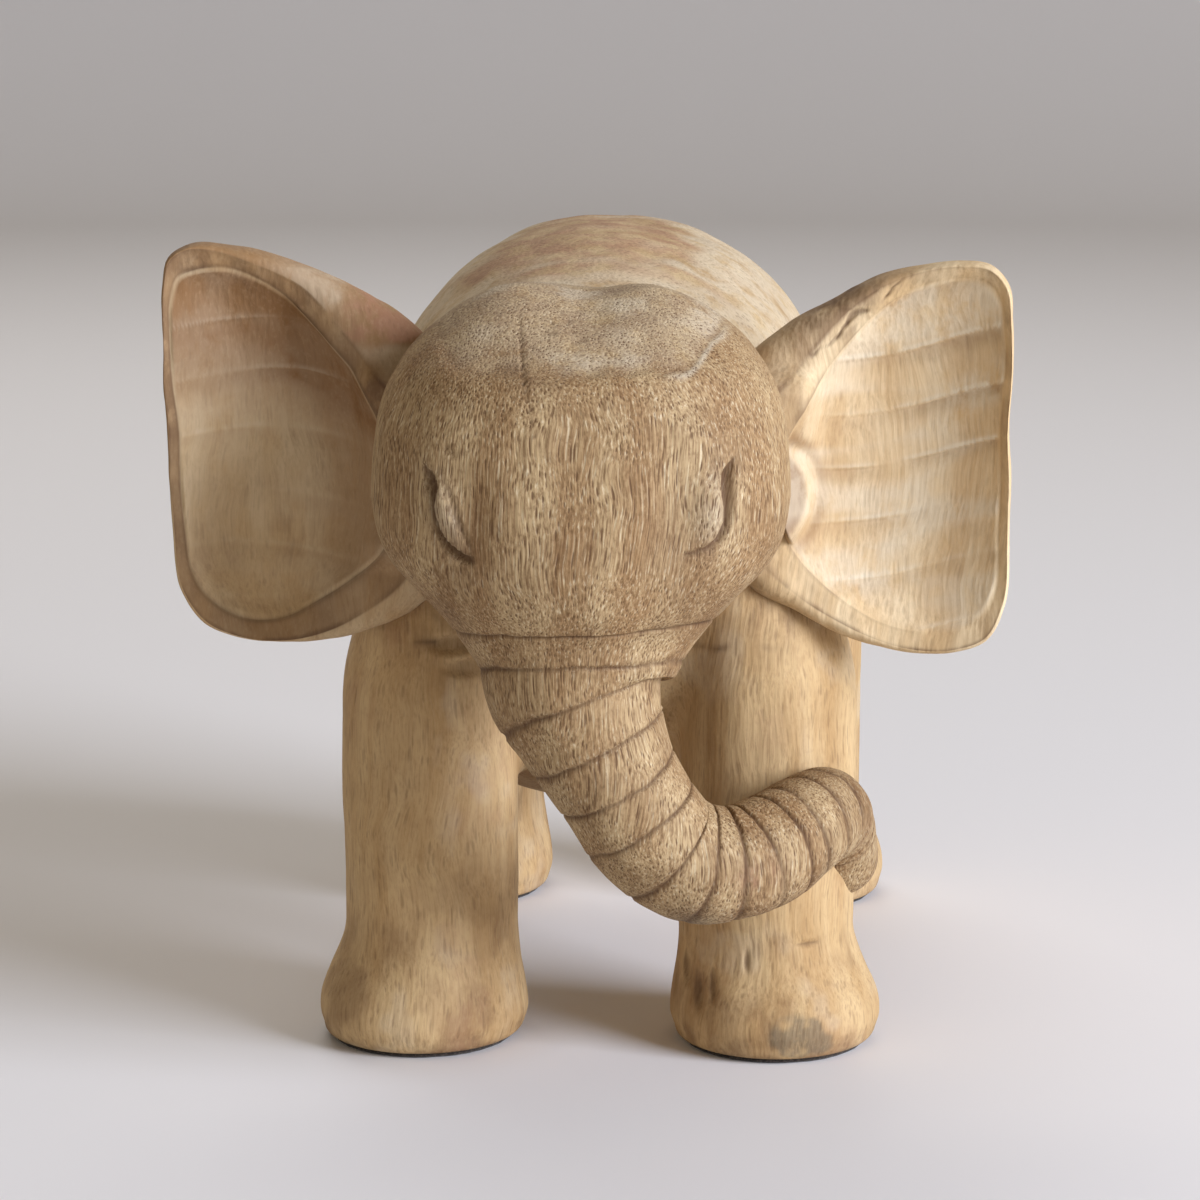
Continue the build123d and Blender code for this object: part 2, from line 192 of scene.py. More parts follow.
def score(u: np.ndarray, v: np.ndarray, line: np.ndarray) -> tuple[np.ndarray, np.ndarray]:
    """A V-shaped knife cut along a line drawn on a face.

    Args:
        u: first coordinate of every point, in mm.
        v: second coordinate of every point, in mm.
        line: rows of u, v, half width and depth along the cut.

    Returns:
        The cut's depth at each point in mm, and how far into the cut it is, 0 to 1.
    """
    depth = np.zeros(u.shape)
    inside = np.zeros(u.shape)
    for a, b in zip(line[:-1], line[1:]):
        run = b[:2] - a[:2]
        t = np.clip(((u - a[0]) * run[0] + (v - a[1]) * run[1]) / (run @ run + 1e-9), 0, 1)
        gap = np.hypot(u - a[0] - t * run[0], v - a[1] - t * run[1])
        near = np.clip(1 - gap / (a[2] + t * (b[2] - a[2])), 0, 1)
        near = near * (2 - near)
        depth = np.maximum(depth, near * (a[3] + t * (b[3] - a[3])))
        inside = np.maximum(inside, near)
    return depth, inside


def settle(
    points: np.ndarray,
    ways: np.ndarray,
    field: Callable[[np.ndarray], np.ndarray],
    reach: float,
) -> np.ndarray:
    """Pushes each point along its way until the field is nought.

    Args:
        points: places in mm.
        ways: the unit direction in which each may move.
        field: about the distance from the surface wanted, below nought inside it.
        reach: the furthest that a point may move, in mm.

    Returns:
        The moved points.
    """
    travel = np.zeros(points.shape[:-1])
    for _ in range(SETTLE_STEPS):
        travel = np.clip(travel - field(points + travel[..., None] * ways), 0, reach)
    return points + travel[..., None] * ways


def grid_normals(points: np.ndarray) -> np.ndarray:
    """Unit normals of a grid of closed rings, from the cross product of its two directions.

    Args:
        points: rings × points × 3, in mm.

    Returns:
        One outward unit vector for each point.
    """
    around = np.roll(points, -1, axis=1) - np.roll(points, 1, axis=1)
    along = np.gradient(points, axis=0)
    normal = np.cross(around, along)
    normal /= np.linalg.norm(normal, axis=-1, keepdims=True) + 1e-9
    outward = points - points.mean(axis=(0, 1))
    return normal if np.sum(normal * outward) > 0 else -normal


# ---------------------------------------------------------------- meshes


@dataclass
class Skin:
    """A closed surface made of rings, whose first and last rings shrink to poles.

    Attributes:
        rings: array of rings × points × 3, in mm.
        marks: named arrays of rings × points, from 0 to 1, that the finish reads.
    """

    rings: np.ndarray
    marks: dict[str, np.ndarray]

    def carve(self, depth: np.ndarray) -> None:
        """Moves the surface inwards along its normals by depth mm."""
        self.rings = self.rings - grid_normals(self.rings) * depth[..., None]

    def mesh(self, name: str) -> bpy.types.Mesh:
        """A mesh with quads between rings, and a fan of triangles at each pole.

        Args:
            name: the mesh's name.

        Returns:
            The mesh in metres, closed and facing outwards, with the marks as attributes.
        """
        rows, columns = self.rings.shape[0] - 2, self.rings.shape[1]
        poles = self.rings[[0, -1]].mean(axis=1)
        points = np.vstack([self.rings[1:-1].reshape(-1, 3), poles]) * MM
        at = np.arange(rows * columns).reshape(rows, columns)
        after = np.roll(at, -1, axis=1)
        quads = np.stack([at[:-1], after[:-1], after[1:], at[1:]], axis=-1).reshape(-1, 4)
        first, last = np.full(columns, rows * columns), np.full(columns, rows * columns + 1)
        fans = np.vstack(
            [
                np.stack([first, after[0], at[0]], axis=-1),
                np.stack([last, at[-1], after[-1]], axis=-1),
            ]
        )
        a, b, c, d = (points[quads[:, i]] for i in range(4))
        volume = np.sum(np.cross(b - a, c - a) * a) + np.sum(np.cross(c - a, d - a) * a)
        if volume < 0:
            quads, fans = quads[:, ::-1], fans[:, ::-1]
        mesh = bpy.data.meshes.new(name)
        mesh.vertices.add(len(points))
        mesh.vertices.foreach_set("co", points.astype(np.float32).ravel())
        corners = np.concatenate([quads.ravel(), fans.ravel()]).astype(np.int32)
        mesh.loops.add(len(corners))
        mesh.loops.foreach_set("vertex_index", corners)
        sizes = np.concatenate([np.full(len(quads), 4), np.full(len(fans), 3)])
        mesh.polygons.add(len(sizes))
        starts = np.concatenate([[0], np.cumsum(sizes)[:-1]]).astype(np.int32)
        mesh.polygons.foreach_set("loop_start", starts)
        mesh.update(calc_edges=True)
        mesh.polygons.foreach_set("use_smooth", np.ones(len(sizes), bool))
        for mark, values in self.marks.items():
            ends = values[[0, -1]].mean(axis=1)
            layer = mesh.attributes.new(mark, "FLOAT", "POINT")
            data = np.concatenate([values[1:-1].ravel(), ends]).astype(np.float32)
            layer.data.foreach_set("value", data)
        mesh.validate()
        return mesh


def place(skin: Skin, name: str, node: str, slot: str, finish: bpy.types.Material) -> None:
    """Puts a skin into the scene as a piece that stands for one CAD node.

    Args:
        skin: the finished surface.
        name: the piece's name.
        node: the CAD node that it replaces.
        slot: the record's material slot; not used.
        finish: its material.
    """
    piece = bpy.data.objects.new(name, skin.mesh(name))
    bpy.context.scene.collection.objects.link(piece)
    piece.data.materials.append(finish)
    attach(piece, "root")
    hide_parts(node)
    LOG.info("%s: %d faces", name, len(piece.data.polygons))


# ---------------------------------------------------------------- finishes


def linear(colour: str) -> tuple[float, float, float, float]:
    """A hex sRGB colour as linear RGBA."""
    parts = [int(colour[i : i + 2], 16) / 255 for i in (1, 3, 5)]
    flat = [c / 12.92 if c <= 0.04045 else ((c + 0.055) / 1.055) ** 2.4 for c in parts]
    return (flat[0], flat[1], flat[2], 1.0)


def add(tree: bpy.types.NodeTree, kind: str, settings: dict, links: dict) -> bpy.types.Node:
    """Adds a node, sets its properties or sockets by name, and links its inputs.

    Args:
        tree: the material's node tree.
        kind: the node's type.
        settings: property names, or input names or numbers, with their values.
        links: input names or numbers, each with the output socket that feeds it.

    Returns:
        The new node.
    """
    node = tree.nodes.new(kind)
    for key, value in settings.items():
        if isinstance(key, str) and hasattr(node, key):
            setattr(node, key, value)
        else:
            node.inputs[key].default_value = value
    for key, output in links.items():
        tree.links.new(output, node.inputs[key])
    return node


@dataclass(frozen=True)
class Pattern:
    """A texture with features of a real size.

    Attributes:
        across, up: size of one feature in mm, across the grain and along it.
        detail, rough: how much finer structure the noise carries.
        pores: distance to the nearest pore instead of noise.
        grained: follows the wandering grain; stains don't.
    """

    across: float
    up: float
    detail: float = 3.0
    rough: float = 0.6
    pores: bool = False
    grained: bool = True


@dataclass(frozen=True)
class Tint:
    """A colour laid over the wood wherever a pattern lies between two levels.

    Attributes:
        colour: sRGB colour.
        pattern: name of the pattern that says where.
        low, high: the pattern's levels where the tint starts and where it is full.
        share: how strong it is where it is full.
        mark: the piece's own mark that limits it, or nothing.
    """

    colour: str
    pattern: str
    low: float
    high: float
    share: float
    mark: str = ""


@dataclass(frozen=True)
class RawWood:
    """Unvarnished tropical hardwood, such as mango or suar, carved and rubbed down.

    Open pores run up the grain, so they are dashes on upright faces and dots on end
    grain. It is matt, with soft colour bands, smudges, and brown in every cut.

    Attributes:
        name: the material's name.
        pale, tan, brown: sRGB colours of the light bands, the dark bands, and the smudges and painted
            shade.
        pore, cut: sRGB colours of the open pores and of the knife cuts.
        pore_share: how strongly pores show.
        pore_gap: mean distance between pores, in mm.
        smudge: how much of the surface is smudged, 0 to 1.
        band: width of a colour band, in mm.
        shift: offset of the pattern in mm, so that no two pieces repeat.
    """

    name: str
    pale: str
    tan: str
    brown: str
    pore: str = "#5F4329"
    cut: str = "#543923"
    pore_share: float = 0.55
    pore_gap: float = 1.7
    smudge: float = 0.45
    band: float = 11.0
    shift: float = 0.0

    def patterns(self) -> dict[str, Pattern]:
        """Every texture that the tints and the relief read."""
        # Pores are drawn half a gap wide, 0.4 to 0.85 mm, so that they show. Real ones are finer.
        return {
            "bands": Pattern(self.band, 110, rough=0.5),
            "streaks": Pattern(3.2, 60),
            "fibres": Pattern(0.6, 24),
            "pores": Pattern(self.pore_gap, 12, pores=True),
            "fine pores": Pattern(self.pore_gap * 0.6, 10, pores=True),
            "blotch": Pattern(33, 45, detail=5, grained=False),
            "mottle": Pattern(8.3, 11, detail=4, grained=False),
            "speckle": Pattern(1.1, 2.2, detail=2, grained=False),
        }

    def tints(self) -> list[Tint]:
        """The tints in the order that they are laid on: grain, stains with painted shade and highlights,
        pores, cuts.
        """
        share = self.pore_share
        return [
            Tint(self.tan, "bands", 0.34, 0.66, 1.0),
            Tint(self.brown, "streaks", 0.50, 0.78, 0.12 + 0.32 * share),
            Tint(self.brown, "fibres", 0.47, 0.68, 0.05 + 0.75 * share),
            Tint(self.pale, "fibres", 0.46, 0.26, 0.05 + 0.40 * share),
            Tint("#DFD0AF", "fibres", 0.46, 0.28, 0.75 * share**2),
            Tint(self.brown, "mottle", 0.52, 0.70, 0.16),
            Tint(self.brown, "blotch", 0.56, 0.74, self.smudge),
            Tint(self.pale, "blotch", 0.46, 0.28, 0.35),
            # From here the pieces' marks lay painted shade and painted highlights, as well as brown
            # smudges, dirt, rosy and grey patches.
            Tint(self.brown, "mottle", 0.0, 0.05, 0.75, "shade"),
            Tint("#6A4D33", "mottle", 0.32, 0.55, 0.80, "grime_and_painted_shade"),
            Tint("#A2755C", "mottle", 0.35, 0.60, 0.60, "rosy"),
            Tint("#D8CAAF", "mottle", 0.25, 0.55, 0.80, "bleach_and_painted_highlight"),
            Tint("#6B604E", "mottle", 0.20, 0.45, 0.85, "grey"),
            Tint(self.brown, "speckle", 0.50, 0.72, share * 0.55),
            Tint(self.pale, "speckle", 0.48, 0.30, share * 0.50),
            Tint(self.pore, "fine pores", 0.34, 0.14, share * 0.50),
            Tint(self.pore, "pores", 0.33, 0.17, share),
            Tint(self.cut, "mottle", 0.0, 0.05, 0.85, "cut"),
        ]

    def make(self) -> bpy.types.Material:
        """The node material, in Object coordinates with the grain along Z."""
        finish = bpy.data.materials.new(self.name)
        finish.use_nodes = True
        tree = finish.node_tree
        tree.nodes.clear()
        offset = tuple(self.shift * MM * part for part in (1.0, 0.7, 0.4))
        start = add(tree, "ShaderNodeTexCoord", {}, {}).outputs["Object"]
        where = add(tree, "ShaderNodeMapping", {"Location": offset}, {"Vector": start}).outputs[0]
        # The grain wanders up to 7 mm sideways as it goes up.
        swirl = add(
            tree, "ShaderNodeTexNoise", {"Scale": 22.0, "Detail": 2.0}, {"Vector": where}
        ).outputs["Color"]
        sideways = {"operation": "MULTIPLY_ADD", 1: (0.014, 0.014, 0), 2: (-0.007, -0.007, 0)}
        wander = add(tree, "ShaderNodeVectorMath", sideways, {0: swirl}).outputs[0]
        grain = add(
            tree, "ShaderNodeVectorMath", {"operation": "ADD"}, {0: where, 1: wander}
        ).outputs[0]

        levels = {}
        for name, pattern in self.patterns().items():
            across, up = 1 / (pattern.across * MM), 1 / (pattern.up * MM)
            stretch = {"operation": "MULTIPLY", 1: (across, across, up)}
            source = grain if pattern.grained else where
            place = add(tree, "ShaderNodeVectorMath", stretch, {0: source}).outputs[0]
            if pattern.pores:
                texture = add(tree, "ShaderNodeTexVoronoi", {"Scale": 1.0}, {"Vector": place})
                levels[name] = texture.outputs["Distance"]
            else:
                look = {"Scale": 1.0, "Detail": pattern.detail, "Roughness": pattern.rough}
                texture = add(tree, "ShaderNodeTexNoise", look, {"Vector": place})
                levels[name] = texture.outputs["Fac"]
        # Pores are wider in some patches and nearly close in others.
        levels["pores"] = add(
            tree,
            "ShaderNodeMath",
            {"operation": "MULTIPLY_ADD", 1: -0.4},
            {0: levels["mottle"], 2: levels["pores"]},
        ).outputs[0]
        levels["pores"] = add(
            tree, "ShaderNodeMath", {"operation": "ADD", 1: 0.2}, {0: levels["pores"]}
        ).outputs[0]

        colour = add(tree, "ShaderNodeRGB", {}, {}).outputs[0]
        colour.default_value = linear(self.pale)
        for tint in self.tints():
            ramp = {"interpolation_type": "SMOOTHSTEP", 1: tint.low, 2: tint.high, 4: tint.share}
            share = add(tree, "ShaderNodeMapRange", ramp, {0: levels[tint.pattern]}).outputs[0]
            if tint.mark:
                mark = add(tree, "ShaderNodeAttribute", {"attribute_name": tint.mark}, {})
                share = add(
                    tree,
                    "ShaderNodeMath",
                    {"operation": "MULTIPLY", "use_clamp": True},
                    {0: share, 1: mark.outputs["Fac"]},
                ).outputs[0]
            blend = {"data_type": "RGBA", 7: linear(tint.colour)}
            colour = add(tree, "ShaderNodeMix", blend, {0: share, 6: colour}).outputs[2]

        height = levels["pores"]
        for name, weight in (("fibres", 0.45), ("mottle", 1.0)):
            height = add(
                tree,
                "ShaderNodeMath",
                {"operation": "MULTIPLY_ADD", 1: weight},
                {0: levels[name], 2: height},
            ).outputs[0]
        relief = add(
            tree, "ShaderNodeBump", {"Strength": 0.5, "Distance": 0.0004}, {"Height": height}
        ).outputs[0]
        shader = add(
            tree,
            "ShaderNodeBsdfPrincipled",
            {"Roughness": 0.74, "IOR": 1.5, "Specular IOR Level": 0.28},
            {"Base Color": colour, "Normal": relief},
        )
        add(tree, "ShaderNodeOutputMaterial", {}, {"Surface": shader.outputs[0]})
        return finish


@dataclass(frozen=True)
class PressedFelt:
    """Dark wool felt, punched into discs: dull, with short loose fibres.

    Attributes:
        name: the material's name.
        colour, lint: sRGB colours of the felt and of its paler fibres.
    """

    name: str = "pressed wool felt"
    colour: str = "#2B2622"
    lint: str = "#4A423B"

    def make(self) -> bpy.types.Material:
        """The node material, with fibres drawn 0.6 mm across so that they show."""
        finish = bpy.data.materials.new(self.name)
        finish.use_nodes = True
        tree = finish.node_tree
        tree.nodes.clear()
        where = add(tree, "ShaderNodeTexCoord", {}, {}).outputs["Object"]
        fibres = add(
            tree, "ShaderNodeTexNoise", {"Scale": 1600.0, "Detail": 3.0}, {"Vector": where}
        ).outputs["Fac"]
        ramp = {"interpolation_type": "SMOOTHSTEP", 1: 0.4, 2: 0.65}
        share = add(tree, "ShaderNodeMapRange", ramp, {0: fibres}).outputs[0]
        blend = {"data_type": "RGBA", 6: linear(self.colour), 7: linear(self.lint)}
        colour = add(tree, "ShaderNodeMix", blend, {0: share}).outputs[2]
        relief = add(
            tree, "ShaderNodeBump", {"Strength": 0.8, "Distance": 0.0003}, {"Height": fibres}
        ).outputs[0]
        shader = add(
            tree,
            "ShaderNodeBsdfPrincipled",
            {"Roughness": 0.95, "Specular IOR Level": 0.15, "Sheen Weight": 0.2},
            {"Base Color": colour, "Normal": relief},
        )
        add(tree, "ShaderNodeOutputMaterial", {}, {"Surface": shader.outputs[0]})
        return finish


# ---------------------------------------------------------------- torso


def blank_marks(shape: tuple[int, int]) -> dict[str, np.ndarray]:
    """Every mark that the wood reads, all at nought."""
    names = ("cut", "shade", "grime_and_painted_shade", "rosy", "bleach_and_painted_highlight", "grey")
    return {name: np.zeros(shape) for name in names}


@dataclass
class Torso:
    """A barrel body, highest over its middle, with a round rump.

    Its sections are superellipses square to Y. Sizes are in mm.

    Attributes:
        half_width, half_height: the barrel where it is widest.
        middle_y, middle_z: the place where it is widest.
        forward, backward: its reach in front of that place and behind it.
        neck_lift: how much its middle line rises towards the neck.
        section_power, barrel_power: how square its sections and its length are.
        columns: points in each ring.
        joined_rings: rings behind the neck that are run into the head.
        joined_reach: the furthest that those may move.
    """

    half_width: float = 78.0
    half_height: float = 92.0
    middle_y: float = 52.0
    middle_z: float = 149.0
    forward: float = 137.7
    backward: float = 99.2
    neck_lift: float = 19.0
    section_power: float = 2.15
    barrel_power: float = 2.5
    columns: int = 300
    joined_rings: int = 60
    joined_reach: float = 16.0

    def centre_z(self, y: np.ndarray) -> np.ndarray:
        """Height of the section's centre: level, rising as a steep power towards the neck.

        Args:
            y: place along the body, in mm.

        Returns:
            One height for each place, in mm.
        """
        ahead = np.clip((self.middle_y - y) / 122, 0, 1.3)
        behind = np.clip((y - self.middle_y) / 99, 0, 1.2)
        return self.middle_z + self.neck_lift * ahead**5.2 - 4 * behind**2

    def field(self, points: np.ndarray) -> np.ndarray:
        """About the distance from the barrel's surface.

        Args:
            points: places in mm.

        Returns:
            A distance in mm for each, below nought inside the barrel.
        """
        x, y = points[..., 0], points[..., 1]
        z = points[..., 2] - self.centre_z(y)
        length = np.where(y < self.middle_y, self.forward, self.backward)
        n, m = self.section_power, self.barrel_power
        across = (np.abs(x) / self.half_width) ** n + (np.abs(z) / self.half_height) ** n
        g = (across ** (m / n) + (np.abs(y - self.middle_y) / length) ** m) ** (1 / m)
        span = np.sqrt(x**2 + (y - self.middle_y) ** 2 + z**2)
        return span * (1 - 1 / np.maximum(g, 1e-6))

    def relief(self, points: np.ndarray) -> np.ndarray:
        """Gouge marks and hand-made unevenness, fading out at the neck.

        Args:
            points: places on the barrel, in mm.

        Returns:
            How far each place is cut back, in mm.
        """
        neck = box_mm("torso")[0][1]
        depth = 1.6 * gouge(points, (34, 42, 30), 11, 20) + 0.4 * gouge(points, (13, 20, 13), 14)
        depth -= 0.9 * waver(points, (45, 50, 40), 12) + 0.25 * waver(points, (9, 9, 14), 13)
        return depth * smooth_step(neck + 1, neck + 12, points[..., 1])

    def skin(self, head: "Head") -> Skin:
        """Rings round Y from the neck to the rump, run smoothly into the head.

        Args:
            head: the head that the front rings are run into.

        Returns:
            The carved and marked surface.
        """
        neck = box_mm("torso")[0][1]
        m = self.barrel_power
        angle = np.arcsin(((self.middle_y - neck) / self.forward) ** (m / 2))
        cap = np.linspace(0, 1, 14)[:-1]
        front = np.linspace(angle, 0, 105)[:-1]
        back = np.linspace(0, math.pi / 2, 125)
        y = np.concatenate(
            [
                np.full(len(cap), neck),
                self.middle_y - self.forward * np.sin(front) ** (2 / m),
                self.middle_y + self.backward * np.sin(back) ** (2 / m),
            ]
        )
        swell = np.concatenate(
            [cap * np.cos(angle) ** (2 / m), np.cos(front) ** (2 / m), np.cos(back) ** (2 / m)]
        )
        turn = np.linspace(0, 2 * math.pi, self.columns, endpoint=False)
        power = 2 / self.section_power
        across = np.sign(np.cos(turn)) * np.abs(np.cos(turn)) ** power
        up = np.sign(np.sin(turn)) * np.abs(np.sin(turn)) ** power
        ways = np.stack([across, 0 * turn, up * self.half_height / self.half_width], axis=-1)
        ways /= np.linalg.norm(ways, axis=-1, keepdims=True)
        rings = np.stack(
            [
                swell[:, None] * across * self.half_width,
                np.repeat(y[:, None], self.columns, axis=1),
                self.centre_z(y)[:, None] + swell[:, None] * up * self.half_height,
            ],
            axis=-1,
        )
        ways = np.broadcast_to(ways, rings.shape)

        def joined(points: np.ndarray) -> np.ndarray:
            """The barrel and the head run together."""
            return smooth_min(self.field(points), head.field(points), BLEND)

        first = len(cap)
        near_head = slice(first, first + self.joined_rings)
        rings[near_head] = settle(rings[near_head], ways[near_head], joined, self.joined_reach)
        middle = rings[:1].copy()
        rings[:first] = middle + (rings[first] - middle) * cap[:, None, None]
        skin = Skin(rings, blank_marks(rings.shape[:2]))
        _, y, z = np.moveaxis(rings, -1, 0)
        rise = z - self.centre_z(y)
        skin.carve(self.relief(rings))
        top = smooth_step(25, 75, rise)
        smear = smooth_step(0.0, 0.5, waver(rings, (50, 34, 40), 15) + 0.5 * waver(rings, (14, 9, 10), 16))
        # Paler over the top of the back: painted highlight where the light falls, broken by rosy smears.
        skin.marks["bleach_and_painted_highlight"] = 0.7 * top * (1 - smear)
        skin.marks["rosy"] = 0.6 * top * smear + 0.3 * smear
        # Painted shade under the belly, and darker wood towards the neck to meet the head.
        skin.marks["shade"] = 0.35 * smooth_step(-20, -85, rise) + 0.55 * smooth_step(neck + 26, neck, y)
        skin.marks["cut"] = 0.3 * bell(y - neck, 1.6)
        return skin


# ---------------------------------------------------------------- head and trunk


@dataclass
class Head:
    """The head, with its crown and face, and the ringed trunk in one piece.

    Above the cheeks the sections are level superellipses. Below them each section turns
    until it is square to the trunk's path. Sizes are in mm.

    Attributes:
        middle: the middle of the head's widest section.
        half_width, half_depth: half that section's size.
        crown_height: how far the crown rises above it.
        crown_power, section_power: how square the crown and the sections are.
        crown_rings, lower_rings: rings above and below the widest section.
        face_columns, back_columns: points in each ring, closer together on the face.
        joined_to: path length to which the rings are run into the torso.
        joined_reach: the furthest that those may move.
    """

    middle: tuple[float, float, float] = (0.0, -106.7, 175.0)
    half_width: float = 60.0
    half_depth: float = 51.0
    crown_height: float = 58.5
    crown_power: float = 2.6
    section_power: float = 2.25
    crown_rings: int = 88
    lower_rings: int = 300
    face_columns: int = 148
    back_columns: int = 84
    joined_to: float = 55.0
    joined_reach: float = 14.0

    # Height, forward shift of the centre, half width and half depth below the brow.
    cheeks: tuple[tuple[float, float, float, float], ...] = (
        (175.0, 0.0, 60.0, 51.0),
        (166.0, -1.0, 58.6, 50.0),
        (157.0, -3.0, 54.0, 46.6),
        (148.0, -6.0, 45.6, 41.2),
        (139.0, -9.6, 37.2, 35.0),
        (130.0, -13.0, 30.6, 29.6),
        (121.0, -15.6, 26.4, 25.8),
    )
    # Height and half depth of the front half only, over the brow and up the crown.
    brow_depths: tuple[tuple[float, float], ...] = (
        (175.0, 51.0),
        (190.0, 50.8),
        (200.0, 50.0),
        (207.0, 48.6),
        (211.5, 47.0),
        (214.0, 45.0),
        (218.0, 39.2),
        (224.0, 29.6),
        (229.0, 19.6),
        (232.0, 11.0),
        (233.5, 0.0),
    )
    # The trunk's path: x, y, z and radius.
    trunk: tuple[tuple[float, float, float, float], ...] = (
        (3.4, -124.0, 111.0, 22.5),
        (7.8, -124.2, 101.0, 19.9),
        (13.0, -123.6, 91.0, 18.4),
        (19.2, -121.8, 81.0, 17.9),
        (26.4, -119.4, 73.0, 17.6),
        (35.6, -116.6, 68.8, 17.3),
        (45.4, -112.6, 68.4, 16.7),
        (55.0, -106.0, 71.2, 16.0),
        (63.6, -96.8, 75.0, 15.0),
        (69.8, -86.0, 76.6, 14.0),
        (72.6, -74.0, 73.0, 12.8),
        (74.0, -64.5, 66.0, 12.7),
        (74.6, -58.0, 57.0, 12.6),
    )
    # The eyes' crescent cuts and the finer lines beside them.
    cuts: tuple[KnifeCut, ...] = (
        (
            0.95,
            (
                (44.2, 190.6, 0.7, 0.8), (43.0, 187.2, 1.9, 3.0), (42.6, 183.4, 2.2, 3.4),
                (42.9, 178.4, 1.8, 3.0), (42.6, 173.2, 1.5, 2.5), (40.6, 168.6, 1.3, 2.2),
                (37.4, 165.8, 1.0, 1.4), (32.5, 164.2, 0.9, 0.7),
            ),
        ),
        (
            0.95,
            (
                (-41.2, 188.2, 0.8, 0.8), (-39.8, 185.6, 2.0, 3.0), (-38.9, 182.4, 2.1, 3.2),
                (-39.0, 178.6, 1.2, 2.6), (-38.6, 174.2, 0.9, 2.2), (-37.4, 169.6, 1.1, 2.4),
                (-35.2, 166.0, 1.5, 2.8), (-32.2, 163.6, 1.6, 2.8), (-29.0, 162.6, 1.3, 1.8),
                (-27.6, 162.8, 0.8, 0.6),
            ),
        ),
        (0.5, ((43.0, 188.0, 0.5, 0.4), (37.5, 184.9, 0.5, 0.4))),
        (0.5, ((-34.8, 194.0, 0.8, 0.6), (-32.6, 192.0, 0.8, 0.6))),
        (
            0.5,
            (
                (-37.0, 188.0, 0.5, 0.3), (-33.6, 180.0, 0.9, 0.8), (-31.2, 171.8, 0.9, 0.9),
                (-28.6, 166.0, 0.7, 0.4),
            ),
        ),
    )
    # Cracks that run down from the crown.
    cracks: tuple[KnifeCut, ...] = (
        (0.7, ((-16.4, 229.0, 0.3, 0.3), (-14.6, 219.0, 0.4, 0.6), (-13.3, 212.0, 0.4, 0.6))),
        (0.7, ((-13.3, 212.0, 0.35, 0.5), (-11.0, 203.0, 0.3, 0.3), (-9.6, 196.0, 0.2, 0.1))),
    )

    def field(self, points: np.ndarray) -> np.ndarray:
        """About the distance from the head above the trunk, measured level.

        Args:
            points: places in mm.

        Returns:
            A distance in mm for each, below nought inside the head.
        """
        x, y, z = np.moveaxis(points, -1, 0)
        rise = np.clip((z - self.middle[2]) / self.crown_height, 0, 1)
        crown = np.maximum(1 - rise**self.crown_power, 0) ** (1 / self.crown_power)
        crown = np.where(z > self.middle[2] + self.crown_height, 0, crown)
        table = np.array(self.cheeks)[::-1]
        shift, wide, deep = (np.interp(z, table[:, 0], table[:, i]) for i in (1, 2, 3))
        above = z > self.middle[2]
        wide = np.where(above, crown * self.half_width, wide)
        deep = np.where(above, crown * self.half_depth, deep)
        shift = np.where(above, 8.0 * rise**1.5, shift)
        y = y - self.middle[1] - shift
        n = self.section_power
        g = (np.abs(x) / np.maximum(wide, 1)) ** n + (np.abs(y) / np.maximum(deep, 1)) ** n
        return np.hypot(x, y) * (1 - 1 / np.maximum(g ** (1 / n), 1e-6))

    def stations(self) -> tuple[np.ndarray, np.ndarray]:
        """Rows of path length, centre, half width, half depth and section power.

        Returns:
            The crown's rows, made directly from its superellipse, and the rows of the
            stations below the brow, for a smooth curve.
        """
        angle = np.linspace(math.pi / 2, 0, self.crown_rings + 1)[:-1]
        rise = np.sin(angle) ** (2 / self.crown_power)
        wide = np.cos(angle) ** (2 / self.crown_power)
        crown = np.stack(
            [
                0 * angle,
                self.middle[0] + 0 * angle,
                self.middle[1] + 8.0 * rise**1.5,
                self.middle[2] + self.crown_height * rise,
                self.half_width * wide,
                self.half_depth * wide,
                self.section_power + 0 * angle,
            ],
            axis=-1,
        )
        rows = [
            (self.middle[0], self.middle[1] + s, z, w, d, self.section_power - 0.25 * (175 - z) / 54)
            for z, s, w, d in self.cheeks
        ]
        rows += [(x, y, z, r, r, 2.0) for x, y, z, r in self.trunk]
        lower = np.array(rows)
        gaps = np.linalg.norm(np.diff(lower[:, :3], axis=0), axis=1)
        length = np.concatenate([[0], np.cumsum(gaps)])
        return crown, np.column_stack([length, lower])

    def groove_places(self, length: float) -> list[tuple[float, float, float]]:
        """Where each ring is cut round the trunk.

        Args:
            length: length of the trunk's path, in mm.

        Returns:
            Path length, depth and lean of each ring.
        """
        places = [(38.9, 0.8, -0.24), (50.8, 0.75, -0.22), (61.3, 0.75, -0.14), (73.4, 0.75, -0.12)]
        places += [(85.9, 0.7, -0.03), (98.3, 0.7, 0.0), (110.8, 0.7, 0.02), (120.8, 0.65, -0.05)]
        at, gap = 130.0, 8.4
        tilt = itertools.cycle((0.05, -0.06, 0.03, -0.03, 0.07, 0.0, -0.05))
        while at < length - 10:
            places.append((at, 0.75, next(tilt)))
            at += gap
            gap = max(6.2, gap - 0.3)
        return places

